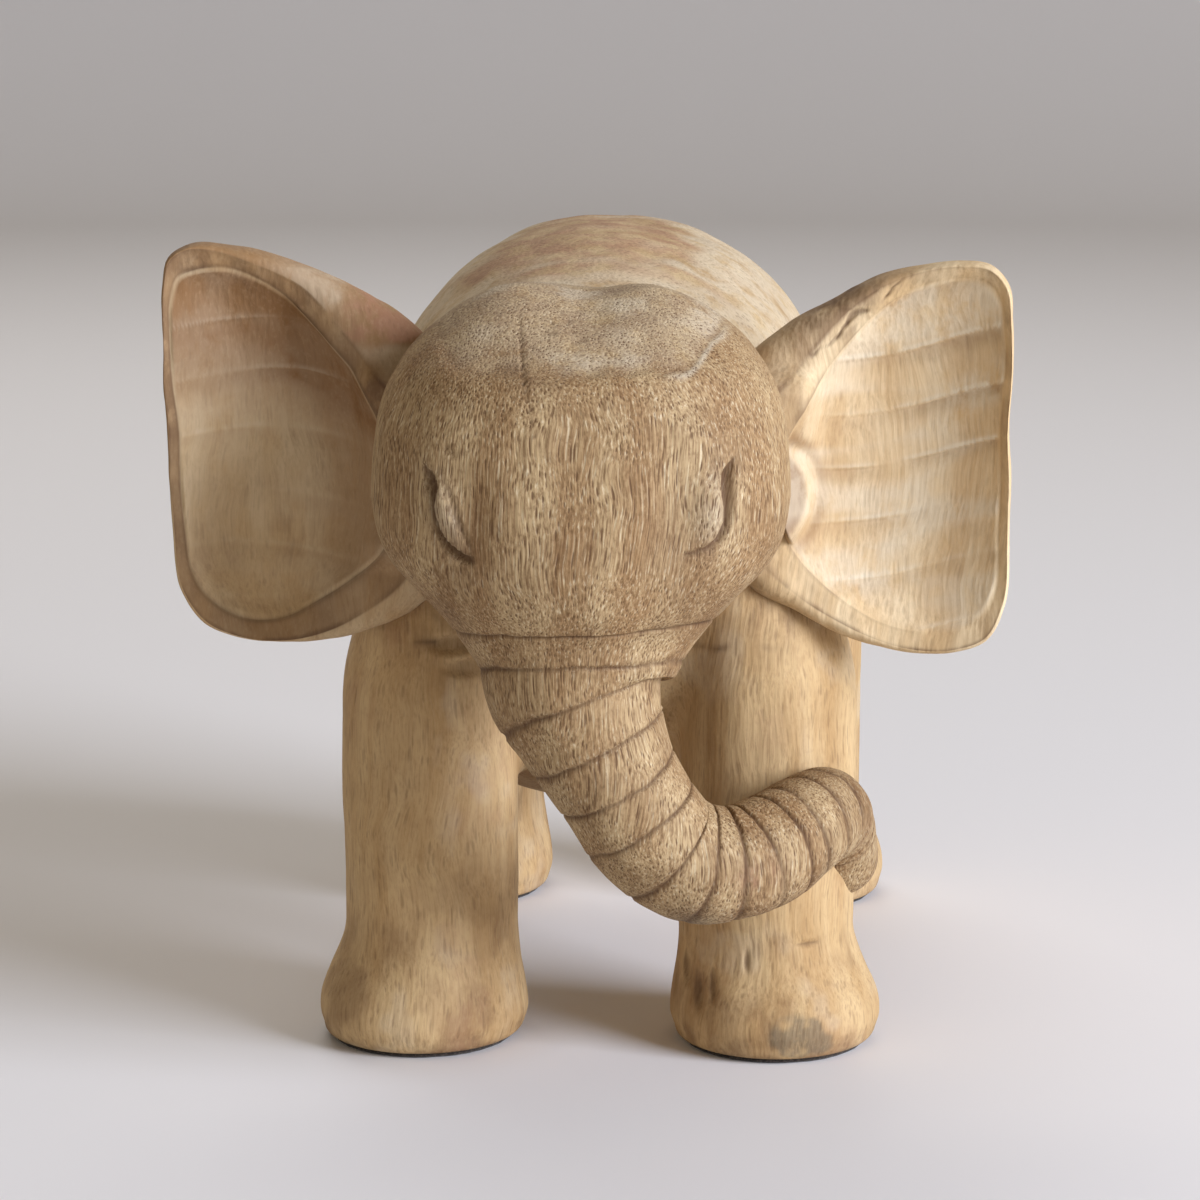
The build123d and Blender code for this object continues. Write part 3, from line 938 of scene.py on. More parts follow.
    def skin(self, torso: Torso) -> Skin:
        """The rings, settled on the torso and cut flat at the neck, then carved.

        Args:
            torso: the torso that the back of the head is run into.

        Returns:
            The carved and marked surface.
        """
        neck = box_mm("torso")[0][1]
        crown, lower = self.stations()
        length = lower[-1, 0]
        grooves = self.groove_places(length)
        fine = np.linspace(0, length, 4000)
        weight = 0.75 + 0 * fine
        for at, _, _ in grooves:
            weight += 1.3 * bell(fine - at, 2.6)
        s = spread(weight, self.lower_rings) * length
        rows = through(lower, s)
        tip = np.linspace(0, math.pi / 2, 26)[1:]
        end = rows[-1]
        ahead = through(lower, np.array([length - 1.0, length]))[:, :3]
        onward = ahead[1] - ahead[0]
        onward /= np.linalg.norm(onward)
        cap = np.repeat(end[None], len(tip), axis=0)
        cap[:, :3] += np.sin(tip)[:, None] * onward * end[3] * 0.8
        cap[:, 3:5] *= np.cos(tip)[:, None] ** 0.6
        table = np.vstack([crown[:, 1:], rows, cap])
        centre, wide, deep, power = table[:, :3], table[:, 3], table[:, 4], table[:, 5]
        path = np.concatenate([np.full(len(crown), -1.0), s, np.full(len(cap), length)])

        along = np.gradient(centre, axis=0)
        along /= np.linalg.norm(along, axis=1, keepdims=True) + 1e-9
        turned = smooth_step(24, 66, path)[:, None]
        along = turned * along + (1 - turned) * np.array([0, 0, -1.0])
        along[-len(cap):] = onward
        along /= np.linalg.norm(along, axis=1, keepdims=True)
        across = np.zeros_like(centre)
        ahead_way = np.array([1.0, 0, 0])
        for i, way in enumerate(along):
            ahead_way = ahead_way - way * (ahead_way @ way)
            ahead_way /= np.linalg.norm(ahead_way)
            across[i] = ahead_way
        front = np.cross(along, across)

        fine = np.linspace(0, 1, 2000)
        turn = (fine - 0.5) * 2 * math.pi
        density = self.back_columns + (self.face_columns - self.back_columns) * 3.2 * smooth_step(
            1.5, 1.0, np.abs(turn)
        )
        turn = (spread(density, self.face_columns + self.back_columns + 1)[:-1] - 0.5) * 2 * math.pi
        side, face = np.sin(turn), np.cos(turn)
        n = 2 / power[:, None]
        u = np.sign(side) * np.abs(side) ** n * wide[:, None]
        v = np.sign(face) * np.abs(face) ** n * deep[:, None]
        brow = np.array(self.brow_depths)
        v *= np.where(
            (face > 0)[None] & (path < 0)[:, None],
            (np.interp(centre[:, 2], brow[:, 0], brow[:, 1]) / np.maximum(deep, 0.1))[:, None],
            1.0,
        )
        if front[0, 1] > 0:
            front = -front
        rings = centre[:, None] + u[..., None] * across[:, None] + v[..., None] * front[:, None]

        ways = rings - centre[:, None]
        ways[..., 2] = 0
        ways /= np.linalg.norm(ways, axis=-1, keepdims=True) + 1e-6
        upper = slice(1, len(crown) + int(np.searchsorted(s, self.joined_to)))

        def joined(points: np.ndarray) -> np.ndarray:
            """The head and the torso run together."""
            return smooth_min(self.field(points), torso.field(points), BLEND)

        near = (torso.field(rings[upper]) < BLEND) * smooth_step(50, 38, path[upper])[:, None]
        settled = settle(rings[upper], ways[upper], joined, self.joined_reach)
        rings[upper] += (settled - rings[upper]) * near[..., None]
        rings[..., 1] = np.where(
            (path < HEAD_END)[:, None], np.minimum(rings[..., 1], neck), rings[..., 1]
        )
        rings[0] = rings[0].mean(axis=0)
        skin = Skin(rings, blank_marks(rings.shape[:2]))
        self.shape_crown(skin)
        self.shape_face(skin, path)
        self.cut_trunk(skin, path, turn, grooves)
        flat = (path < HEAD_END)[:, None] & (skin.rings[..., 1] > neck - 0.6)
        skin.rings[..., 1] = np.where(flat, neck, skin.rings[..., 1])
        return skin

    def shape_crown(self, skin: Skin) -> None:
        """Raises two soft bumps on the crown, with a dip between.

        Args:
            skin: the head, whose crown is shaped.
        """
        x, y, z = np.moveaxis(skin.rings, -1, 0)
        top = smooth_step(205, 228, z)
        bumps = bell(x + 21, 15) * bell(y + 104, 22) + bell(x - 22, 15) * bell(y + 104, 22)
        dip = bell(x - 3, 10) * bell(y + 104, 34)
        skin.rings[..., 2] += top * (2.4 * bumps - 1.6 * dip)

    def knife(self, skin: Skin, lines: tuple[KnifeCut, ...], front: np.ndarray) -> np.ndarray:
        """Scores lines into the face and darkens them.

        Args:
            skin: the head, whose "cut" mark is darkened.
            lines: the cuts.
            front: 1 on the face, falling to 0 round its sides.

        Returns:
            The depth of the cuts at every point, in mm.
        """
        x, _, z = np.moveaxis(skin.rings, -1, 0)
        depth = np.zeros_like(x)
        for dark, line in lines:
            cut, inside = score(x, z, np.array(line))
            depth += cut * front
            skin.marks["cut"] = np.maximum(skin.marks["cut"], front * inside * dark)
        return depth

    def shape_face(self, skin: Skin, path: np.ndarray) -> None:
        """Brow step, eye sockets, crescent eye cuts, cracks and light tool marks, with painted shade and
        painted highlights.

        Args:
            skin: the head, which is carved and marked.
            path: path length of each ring, below nought on the crown.
        """
        x, y, z = np.moveaxis(skin.rings, -1, 0)
        front = smooth_step(-95, -118, y) * (path < HEAD_END)[:, None]
        on_head = (path < 70)[:, None] * 1.0
        marks = skin.marks
        wavy = 1.1 * waver(skin.rings, (9, 9, 9), 21) + 0.5 * waver(skin.rings, (3, 9, 9), 22)
        brow = 213.5 + 9.5 * smooth_step(29, 42, x) + 8.0 * smooth_step(-30, -42, x) + wavy
        above = z - brow
        soft = smooth_step(8, -10, x)
        lip = (1 - soft) * smooth_step(-0.4, 1.1, above) + soft * smooth_step(-2.6, 2.6, above)
        lip = lip * np.exp(-np.clip(above, 0, 50) / 11)
        edge = front * smooth_step(47, 38, np.abs(x))
        torn = smooth_step(-0.5, 0.6, waver(skin.rings, (9, 9, 5), 28))
        depth = 0.7 * lip * edge
        marks["shade"] += (0.1 + 0.5 * torn) * bell(above - 2.0, 3.0) * edge
        # A painted highlight along the lower edge of the brow, on the side towards the light.
        marks["bleach_and_painted_highlight"] += 0.9 * bell(above + 0.4, 1.1) * edge * smooth_step(22, 32, x)
        crown = smooth_step(0, 5, above) * smooth_step(203, 214, z)
        patch = smooth_step(-0.2, 0.5, waver(skin.rings, (13, 13, 8), 29))
        marks["bleach_and_painted_highlight"] += crown * (0.25 + 0.45 * patch)
        # Sockets each side of a broad nose bridge, with painted shade in them.
        for side in (-1, 1):
            depth += 2.0 * bell(x - side * 30, 9) * bell(z - 172, 17) * front
            depth -= 0.8 * bell(x - side * 36, 10) * bell(z - 196, 8) * front
            marks["shade"] += 0.55 * bell(x - side * 29, 8) * bell(z - 166, 15) * front
        depth += self.knife(skin, self.cuts, front)
        for x_eye, lean in ((38.4, 0.05), (-35.2, -0.28)):
            level = z - 176.5
            swell = bell(x - x_eye + lean * level * -1, 4.2) * bell(level, 9.5)
            depth -= 2.2 * swell * front
            # A painted highlight on each swelling eyeball.
            marks["bleach_and_painted_highlight"] += 0.35 * swell * front
        depth += self.knife(skin, self.cracks, front)
        marks["grime_and_painted_shade"] += 0.7 * bell(x + 12, 7) * bell(z - 214, 5) * front
        pits = smooth_step(0.5, 0.8, waver(skin.rings, (2.2, 2.2, 2.2), 27))
        pits = pits * bell(x + 2, 9) * bell(y + 128, 9) * smooth_step(205, 214, z)
        depth += 0.5 * pits
        marks["cut"] = np.maximum(marks["cut"], 0.6 * pits)
        tools = gouge(skin.rings, (17, 17, 21), 24)
        hand = 0.55 * tools + 0.5 * waver(skin.rings, (26, 26, 30), 23)
        hand += 0.12 * waver(skin.rings, (5, 5, 8), 25)
        depth += hand * on_head * smooth_step(-72, -80, y)
        cheek = smooth_step(-0.1, 0.6, waver(skin.rings, (18, 18, 14), 26))
        marks["shade"] += 0.35 * cheek * smooth_step(182, 160, z) * on_head
        # Painted shade low at the back of the head, under the cheeks and the ears.
        marks["shade"] += 0.45 * smooth_step(-120, -95, y) * smooth_step(165, 140, z) * on_head
        marks["cut"] = np.maximum(marks["cut"], 0.3 * bell(y + 71.5, 2.0) * on_head)
        skin.carve(depth)

    def cut_trunk(
        self,
        skin: Skin,
        path: np.ndarray,
        turn: np.ndarray,
        grooves: list[tuple[float, float, float]],
    ) -> None:
        """Thin, slightly wavy V cuts round the trunk, with a soft roll between them.

        Args:
            skin: the head and trunk, which is carved and marked.
            path: path length of each ring, below nought on the crown.
            turn: angle of each point round its ring, nought at the front.
            grooves: path length, depth and lean of each cut.
        """
        rings = skin.rings
        depth = np.zeros(rings.shape[:2])
        s = np.repeat(path[:, None], rings.shape[1], axis=1)
        trembling = 0.45 * waver(rings, (7, 7, 7), 31) + 0.2 * waver(rings, (2.5, 2.5, 2.5), 32)
        front = smooth_step(2.7, 1.9, np.abs(turn))[None]
        left = np.sin(turn)[None]
        slant = np.where(left > 0, left, 0.25 * left)
        for index, (at, deep, lean) in enumerate(grooves):
            sway = 0.7 * math.sin(index * 2.1) * np.cos(turn)[None]
            gap = s - at - trembling - lean * 14 * slant - sway
            strong = 1 + 0.35 * waver(rings, (12, 12, 12), 33 + index)
            if 90 < at < 150:
                strong = strong + 0.7 * smooth_step(0.3, 0.9, left)
            reach = front if at < HEAD_END else np.ones_like(front)
            near = np.clip(1 - np.abs(gap) / 0.85, 0, 1)
            depth += reach * strong * (0.7 * deep * near * (2 - near) + 0.06 * bell(gap, 2.6))
            line = reach * 0.9 * np.clip(strong, 0, 1.2) * near
            skin.marks["cut"] = np.maximum(skin.marks["cut"], line)
            skin.marks["shade"] += 0.5 * reach * bell(gap, 1.9) * np.clip(strong - 0.4, 0, 1)
        trunk = smooth_step(45, 80, s)
        tools = gouge(rings, (9, 9, 9), 36)
        uneven = 0.3 * waver(rings, (9, 9, 9), 35) + 0.5 * waver(rings, (22, 22, 22), 37)
        depth += trunk * (0.35 * tools + uneven)
        x, _, z = np.moveaxis(rings, -1, 0)
        skin.marks["shade"] += 0.3 * trunk * smooth_step(-0.2, 0.7, waver(rings, (10, 10, 7), 38))
        skin.marks["grey"] += 0.7 * bell(x - 33, 7) * bell(z - 52, 6) * trunk
        skin.marks["rosy"] += 0.8 * bell(x - 52, 6) * bell(z - 68, 5) * trunk
        skin.carve(depth)


# ---------------------------------------------------------------- ears


@dataclass
class Ear:
    """A thick dished plate, wide at its outer side, with its root sunk in the head.

    Attributes:
        side: which ear.
        outline: x and z in mm round the silhouette, with x counted outwards.
        crest: x and z in mm round the outer edge of the flat band that frames the dish.
        rim: x and z in mm round the edge of the dish itself.
        seed: start of its random relief.
        flawed: whether it has a boss at the cheek and a bark fissure along its top.
        stain_and_head_shadow: how much browner its dish, band and edges are, 0 to 1: partly real staining
            and partly painted shade where the head's shadow falls.
        ripples: depth in mm of the steps that the gouge left across the dish.
        centre: x and z of the middle of the dish, with x counted outwards.
        back_y: Y of the back at its root.
        edge: thickness of the edge, in mm.
        dish: how deep the dish is, in mm.
        columns: points in each ring.
    """

    side: Side
    outline: tuple[tuple[float, float], ...]
    crest: tuple[tuple[float, float], ...]
    rim: tuple[tuple[float, float], ...]
    seed: int
    flawed: bool = False
    stain_and_head_shadow: float = 0.0
    ripples: float = 0.7
    centre: tuple[float, float] = (88.0, 184.0)
    back_y: float = -66.2
    edge: float = 9.5
    dish: float = 9.0
    columns: int = 330

    def ring_of(self, corners: tuple[tuple[float, float], ...], turn: np.ndarray) -> np.ndarray:
        """Distance from the ear's centre to a smooth outline.

        Args:
            corners: x and z of the outline's points.
            turn: the angles wanted.

        Returns:
            One distance in mm for each angle.
        """
        points = np.array(corners) - np.array(self.centre)
        angle = np.arctan2(points[:, 1], points[:, 0])
        order = np.argsort(angle)
        angle, reach = angle[order], np.hypot(points[:, 0], points[:, 1])[order]
        angle = np.concatenate([angle[-3:] - 2 * math.pi, angle, angle[:3] + 2 * math.pi])
        reach = np.concatenate([reach[-3:], reach, reach[:3]])
        return through(np.column_stack([angle, reach]), turn)[:, 0]

    def back(self, x: np.ndarray, z: np.ndarray) -> np.ndarray:
        """The back's Y: a shallow bowl that brings the outer edge and the corners forwards."""
        return self.back_y - 0.0026 * (x - 66) ** 2 * (x > 66) - 0.0011 * (z - 186) ** 2

    def skin(self) -> Skin:
        """Rings from the middle of the dish, over the rim and the edge, to the middle of the back."""
        turn = np.linspace(-math.pi, math.pi, self.columns, endpoint=False)
        edge = self.ring_of(self.outline, turn) + 0.8
        crest = np.minimum(self.ring_of(self.crest, turn) + 0.6, edge - 0.5)
        rim = np.minimum(self.ring_of(self.rim, turn), crest - 0.8)
        way = np.stack([np.cos(turn), np.sin(turn)], axis=-1)
        middle = np.array(self.centre)
        bevel = np.clip(edge - crest, 0, 30)
        inward = smooth_step(92, 58, middle[0] + rim * way[:, 0])
        sill = 0.3 + 0.7 * smooth_step(3.5, 7.0, crest - rim)
        low = smooth_step(150, 128, middle[1] + edge * way[:, 1])
        proud = self.edge + 0.40 * bevel + 2.0 * inward

        def level(reach: np.ndarray, forward: np.ndarray) -> np.ndarray:
            """A ring at the given distances from the centre, forward of the back."""
            xz = middle + way * reach[:, None]
            return np.column_stack([xz[:, 0], self.back(*xz.T) - forward, xz[:, 1]])

        rows = []
        shares = np.linspace(0, 1, 104)[:-1] ** 0.85
        for share in shares:
            near = share**1.5
            rise = proud.mean() + (proud - proud.mean()) * near
            hollow = self.dish * (1 - share**2.6) * (1 + 0.35 * inward * near)
            lipped = sill.mean() + (sill - sill.mean()) * near
            rows.append(level(rim * share, rise - 1.6 - hollow - 1.3 * lipped * (1 - share**20)))
        for share in np.linspace(0, 1, 14)[:-1]:
            forward = proud - 1.6 + (1.6 - 1.2 * low) * share**0.8
            rows.append(level(rim + (crest - rim) * share, forward))
        lip = proud - 1.2 * low
        for share in np.linspace(0, 1, 46)[:-1]:
            bend = share * math.pi / 2
            fall = 1 - math.cos(bend) ** 0.9
            rows.append(level(crest + (edge - crest) * math.sin(bend) ** 0.9, lip * (1 - 0.62 * fall)))
        for share in np.linspace(1, 0, 70):
            rounding = 1 - (1 - share**8) ** 0.5
            rows.append(level(edge * share, 0.38 * lip * rounding - 2.0 * (1 - share**2)))
        rings = np.stack(rows)
        marks = blank_marks(rings.shape[:2])
        ring = np.arange(len(rings), dtype=float)[:, None]
        dish_end = len(shares)
        band_end, side_end = dish_end + 13, dish_end + 58
        in_dish = smooth_step(dish_end + 1, dish_end - 5, ring)
        on_side = smooth_step(band_end - 1, band_end + 2, ring)
        on_side = on_side * smooth_step(side_end + 10, side_end - 4, ring)
        on_band = smooth_step(dish_end - 1, dish_end + 1, ring)
        on_band = on_band * smooth_step(band_end + 2, band_end - 1, ring)
        on_back = smooth_step(side_end - 4, side_end + 10, ring)
        x, _, z = np.moveaxis(rings, -1, 0)
        sweep = rings.copy()
        sweep[..., 2] -= 0.10 * (x - 70) + 4 * np.sin(x / 19 + self.seed)
        flutes = gouge(sweep, (58, 90, 17), self.seed, 34)
        small = gouge(sweep, (24, 60, 10), self.seed + 3, 30)
        rings[..., 1] -= in_dish * (1.2 * flutes + 0.5 * small)
        rings[..., 1] += in_dish * 0.7 * waver(rings, (24, 40, 24), self.seed + 8)
        step = (sweep[..., 2] + 2.5 * waver(sweep, (40, 60, 40), self.seed + 12)) / 16.5
        step -= np.floor(step)
        uneven = np.clip(0.55 + 0.7 * waver(sweep, (38, 90, 17), self.seed + 13), 0, 1.2)
        ripple = uneven * in_dish * smooth_step(60, 84, x) * smooth_step(0.0, 24.0, ring)
        rings[..., 1] += self.ripples * ripple * step**2.5 * smooth_step(1.0, 0.94, step)
        # Wood is left standing at the root, so that the dowels stay covered.
        root_z, tall = (195.0, 6.0) if self.flawed else (180.0, 23.0)
        fillet = smooth_step(70, 62.5, x) * smooth_step(tall + 11, tall, np.abs(z - root_z))
        rings[..., 1] -= 6.5 * fillet * smooth_step(side_end - 10, band_end, ring)
        fissure = np.zeros_like(x)
        if self.flawed:
            off_boss = np.hypot((x - 54) / 12, (z - 171) / 15.5)
            rings[..., 1] -= in_dish * 6.5 * smooth_step(1.15, 0.85, off_boss) * (1 - fillet)
            ragged = 0.7 * waver(rings, (3, 3, 3), self.seed + 14)
            ragged += 1.1 * waver(rings, (6, 6, 6), self.seed + 15)
            cut, fissure = score(x + ragged, z - ragged, np.array(BARK_FISSURE))
            broken = smooth_step(-0.6, 0.3, waver(rings, (4, 4, 4), self.seed + 16))
            fissure = fissure * (1 - on_back) * broken
            rings[..., 1] += 0.7 * cut * (1 - on_back) * broken
        skin = Skin(rings, marks)
        chips = gouge(rings, (15, 15, 15), self.seed + 6, 18)
        relief = 0.55 * chips + 0.15 * waver(rings, (4, 4, 4), self.seed + 7)
        relief += 0.35 * waver(rings, (22, 22, 22), self.seed + 8)
        relief = relief * (1 - in_dish) * (1 - 0.6 * smooth_step(100, 115, x))
        skin.carve(relief * smooth_step(0, 12, len(rings) - 1 - ring))
        patchy = np.clip(0.75 + 0.6 * waver(rings, (7, 7, 7), self.seed + 9), 0, 1.3)
        upper = smooth_step(150, 190, z)
        marks["grime_and_painted_shade"] = 0.8 * on_band * patchy * (0.35 + 0.5 * upper) * (0.55 + 0.6 * self.stain_and_head_shadow)
        marks["grime_and_painted_shade"] += 0.6 * bell(ring - band_end, 1.6) * patchy
        marks["cut"] = 0.5 * bell(ring - dish_end, 0.9) * patchy * smooth_step(0.45, 0.9, sill)[None]
        marks["cut"] += 0.5 * bell(ring - band_end, 0.9) * patchy * low[None]
        top = on_side * smooth_step(196, 214, z) * smooth_step(98, 82, x) * self.stain_and_head_shadow
        cloud = waver(rings, (13, 13, 10), self.seed + 10)
        marks["rosy"] = top * smooth_step(-0.1, 0.35, cloud)
        marks["bleach_and_painted_highlight"] = 0.4 * top * smooth_step(0.2, -0.3, cloud)
        bark = on_side * smooth_step(58, 66, x) * smooth_step(93, 84, x) * smooth_step(200, 212, z)
        bark = bark * smooth_step(0.0, 0.5, waver(rings, (5, 5, 3.4), self.seed + 11))
        if self.flawed:
            rough = smooth_step(-0.1, 0.5, waver(rings, (2.5, 2.5, 2.5), self.seed + 17))
            rough = rough * (on_side + on_band) * bell(x - 78, 9) * bell(z - 223, 9)
            bark = bark * bell(x - 76, 12)
            marks["cut"] = np.maximum(marks["cut"], 0.5 * bark + 0.8 * fissure + 0.5 * rough)
            marks["grime_and_painted_shade"] += 0.8 * on_side * bell(x - 74, 13) * smooth_step(204, 214, z)
            marks["shade"] = 0.5 * on_side * smooth_step(192, 208, z) * smooth_step(100, 85, x)
        # Painted shade: each dish darker towards the head and towards its top.
        marks["shade"] += in_dish * (0.35 * smooth_step(88, 58, x) + 0.1 * smooth_step(150, 225, z))
        # The boss browner inside, with painted shade in a ring round its foot.
        if self.flawed:
            marks["shade"] += 0.9 * in_dish * smooth_step(0.95, 0.75, off_boss)
            marks["shade"] += 0.5 * in_dish * bell(off_boss - 1.25, 0.14)
        # The stained ear's dish, band and edges browner: partly real staining, partly painted shade where
        # the head's shadow falls; also a broad dark line along the rim, partly painted shade from the rim.
        dark = 0.25 + 0.45 * smooth_step(100, 70, x) + 0.95 * smooth_step(180, 218, z)
        edges = 0.9 * on_band + 1.1 * on_side * upper + 0.5 * on_side * (1 - upper)
        marks["shade"] += self.stain_and_head_shadow * (in_dish * dark + edges)
        marks["cut"] += 0.45 * self.stain_and_head_shadow * bell(ring - dish_end, 2.5)
        # Painted shade just below each ripple's step.
        under_step = ripple * smooth_step(0.6, 0.9, step) * smooth_step(1.0, 0.96, step)
        marks["shade"] += 0.5 * (1 - 0.6 * self.stain_and_head_shadow) * under_step
        # Painted highlights on the flute ridges, on each ripple's crest and towards the outer edge of the
        # dish.
        ridge = smooth_step(0.20, 0.42, flutes)
        painted_highlight = 0.6 * ridge + 0.25 * bell(x - 104, 20) + 0.9 * ripple * bell(step - 0.03, 0.05)
        marks["bleach_and_painted_highlight"] += in_dish * painted_highlight * (1 - 0.8 * self.stain_and_head_shadow)
        # Painted shade in the crease where the dish meets the head.
        crease = smooth_step(64, 54, x) * in_dish * smooth_step(206, 198, z)
        marks["grime_and_painted_shade"] += 0.7 * crease
        skin.rings[..., 0] *= self.side.value
        return skin


# ---------------------------------------------------------------- legs, tail and pads


@dataclass
class Leg:
    """A round post that flares into a foot, and a shoulder that runs into the torso.

    Attributes:
        node: the CAD node that it stands for.
        side: which side of the elephant.
        pad: the CAD node of the felt under it, which gives the foot's centre.
        lean: how far the top leans backwards, in mm.
        thigh: extra half depth of the top, in mm.
        seed: start of its random relief.
        scoops: single gouge cuts in its front: centre x and z, then width, height and depth.
        radius_x, radius_y: half width and half depth of the shank, in mm.
        foot_height, flare: how high the foot is, and how far it stands out, in mm.
        columns: points in each ring.
    """

    node: str
    side: Side
    pad: str
    lean: float
    thigh: float
    seed: int
    scoops: tuple[tuple[tuple[float, float], tuple[float, float, float]], ...] = ()
    radius_x: float = 26.7
    radius_y: float = 28.5
    foot_height: float = 36.0
    flare: float = 5.8
    columns: int = 230

    def skin(self, torso: Torso) -> Skin:
        """Level rings from the sole up the shank, then a dome for the shoulder.

        Args:
            torso: the torso that the shoulder is run into.

        Returns:
            The carved and marked surface.
        """
        low, high = box_mm(self.pad)
        sole = high[2]
        splay = 2.7 * self.side.value
        axis_x, axis_y = (low[0] + high[0]) / 2 - splay, (low[1] + high[1]) / 2
        top = box_mm(self.node)[1][2]
        shoulder = top - 42
        cap = np.linspace(0, 1, 12)[:-1]
        round_over = np.linspace(0, math.pi / 2, 9)
        column = np.linspace(0, 1, 150)[1:-1]
        dome = np.linspace(0, math.pi / 2, 60)
        edge = 3.2
        z = np.concatenate(
            [
                np.full(len(cap), sole),
                sole + edge * (1 - np.cos(round_over)),
                sole + edge + (shoulder - sole - edge) * column,
                shoulder + (top - shoulder) * np.sin(dome),
            ]
        )
        inset = np.concatenate(
            [
                np.full(len(cap), edge),
                edge * (1 - np.sin(round_over)),
                0 * column,
                0 * dome,
            ]
        )
        share = np.concatenate(
            [cap, np.ones(len(round_over) + len(column)), np.cos(dome) ** 0.9]
        )
        up = (z - sole) / self.foot_height
        flare = self.flare * smooth_step(1.0, 0.22, up) * (1 - 0.3 * smooth_step(0.22, 0, up))
        height = np.clip((z - self.foot_height) / (top - self.foot_height), 0, 1)
        half_x = self.radius_x + flare - inset
        half_y = self.radius_y + flare - inset + self.thigh * smooth_step(0.1, 0.8, height)
        inwards = -self.side.value * 20 * smooth_step(0.52, 1.15, height)
        centre_x = axis_x + splay * smooth_step(1.0, 0.3, up) + inwards
        centre_y = axis_y + self.lean * smooth_step(0.0, 1.0, height)
        turn = np.linspace(0, 2 * math.pi, self.columns, endpoint=False)
        rings = np.stack(
            [
                centre_x[:, None] + (half_x * share)[:, None] * np.cos(turn),
                centre_y[:, None] + (half_y * share)[:, None] * np.sin(turn),
                np.repeat(z[:, None], self.columns, axis=1),
            ],
            axis=-1,
        )
        flat = rings.copy()
        flat[..., 2] *= 0.5
        wall = smooth_step(0.0, 3.0, rings[..., 2] - sole - 0.4)
        relief = 0.9 * gouge(flat, (17, 17, 17), self.seed)
        relief += 0.9 * waver(flat, (20, 20, 22), self.seed + 1)
        relief += 0.22 * gouge(rings, (7, 7, 11), self.seed + 2)
        foot = smooth_step(1.1, 0.6, up)[:, None]
        relief += foot * 0.8 * gouge(rings, (15, 15, 30), self.seed + 3)
        ahead = smooth_step(-55, -65, rings[..., 1])
        for (x_cut, z_cut), (wide, tall, deep) in self.scoops:
            away = np.hypot((rings[..., 0] - x_cut) / wide, (rings[..., 2] - z_cut) / tall)
            relief += deep * ahead * smooth_step(1.0, 0.35, away)
        skin = Skin(rings, blank_marks(rings.shape[:2]))
        start = int(np.searchsorted(z, 60))
        ways = grid_normals(rings)[start:]
        skin.carve(relief * wall)
        carved = (relief * wall)[start:]
        upper = skin.rings[start:]
        worn = torso.relief(upper)
        depth = -(torso.field(upper) + worn)
        proud = 0.3 - 1.5 * smooth_step(2.0, 8.0, depth)

        def joined(points: np.ndarray) -> np.ndarray:
            """The leg and the torso run together; further in, the leg dips under the torso."""
            axis = np.stack([np.interp(points[..., 2], z, c) for c in (centre_x, centre_y)], -1)
            wide = np.interp(points[..., 2], z, half_x * share)
            deep = np.interp(points[..., 2], z, half_y * share)
            gap = points[..., :2] - axis
            g = np.hypot(gap[..., 0] / np.maximum(wide, 1), gap[..., 1] / np.maximum(deep, 1))
            own = np.hypot(gap[..., 0], gap[..., 1]) * (1 - 1 / np.maximum(g, 1e-3))
            return smooth_min(own + carved, torso.field(points) + worn - proud, 12.0)

        close = (depth > -14)[..., None]
        for _ in range(2):
            moved = settle(upper, ways, joined, 12.0)
            worn = torso.relief(moved)
        skin.rings[start:] = np.where(close, moved, upper)
        self.mark(skin, sole)
        return skin

    def mark(self, skin: Skin, sole: float) -> None:
        """Darker low on the foot, brown smudges up the shank, a dark seam under the torso, and painted
        shade high on the front legs under the head and trunk.

        Args:
            skin: the leg, which is marked.
            sole: height of the sole, in mm.
        """
        x, y, z = np.moveaxis(skin.rings, -1, 0)
        marks = skin.marks
        rise = z - sole
        blot = waver(skin.rings, (14, 14, 17), self.seed + 4)
        blot += 0.5 * waver(skin.rings, (5, 5, 6), self.seed + 5)
        marks["grime_and_painted_shade"] = 0.5 * smooth_step(7, 0, rise)
        marks["grime_and_painted_shade"] += 0.35 * smooth_step(0.25, 0.9, blot) * smooth_step(75, 10, rise)
        marks["shade"] = 0.35 * smooth_step(0.0, 0.8, blot) * (0.4 + 0.6 * smooth_step(60, 20, rise))
        marks["bleach_and_painted_highlight"] = 0.25 * smooth_step(0.3, 0.9, -blot)
        if "front" in self.node:
            seam = 125.5 + 1.6 * waver(skin.rings, (9, 9, 9), self.seed + 7)
            broken = smooth_step(-0.35, 0.3, waver(skin.rings, (8, 8, 8), self.seed + 8))
            inner = smooth_step(60, 46, np.abs(x)) * smooth_step(-70, -78, y)
            marks["cut"] = 0.75 * bell(z - seam, 1.1) * broken * inner
            # Painted shade high on the front of the leg, under the head and trunk.
            under = smooth_step(118, 134, z) * smooth_step(-60, -76, y)
            marks["grime_and_painted_shade"] += 0.5 * under * (0.6 + 0.4 * blot)
        if self.side is Side.LEFT and "front" in self.node:
            torn = np.hypot((x - 64.5) / 9.5, (rise - 7.5) / 6)
            torn += 0.35 * waver(skin.rings, (4, 4, 4), self.seed + 9)
            marks["grey"] = 0.8 * smooth_step(1.1, 0.8, torn) * smooth_step(-75, -82, y)
        marks["rosy"] = 0.3 * smooth_step(0.2, 0.8, waver(skin.rings, (18, 18, 26), self.seed + 6))
        for (x_cut, z_cut), (wide, tall, _) in self.scoops:
            away = np.hypot((x - x_cut) / wide, (z - z_cut) / tall)
            dark = min(0.7, 1.2 / min(wide, tall))
            marks["cut"] += dark * smooth_step(1.0, 0.2, away) * smooth_step(-55, -65, y)


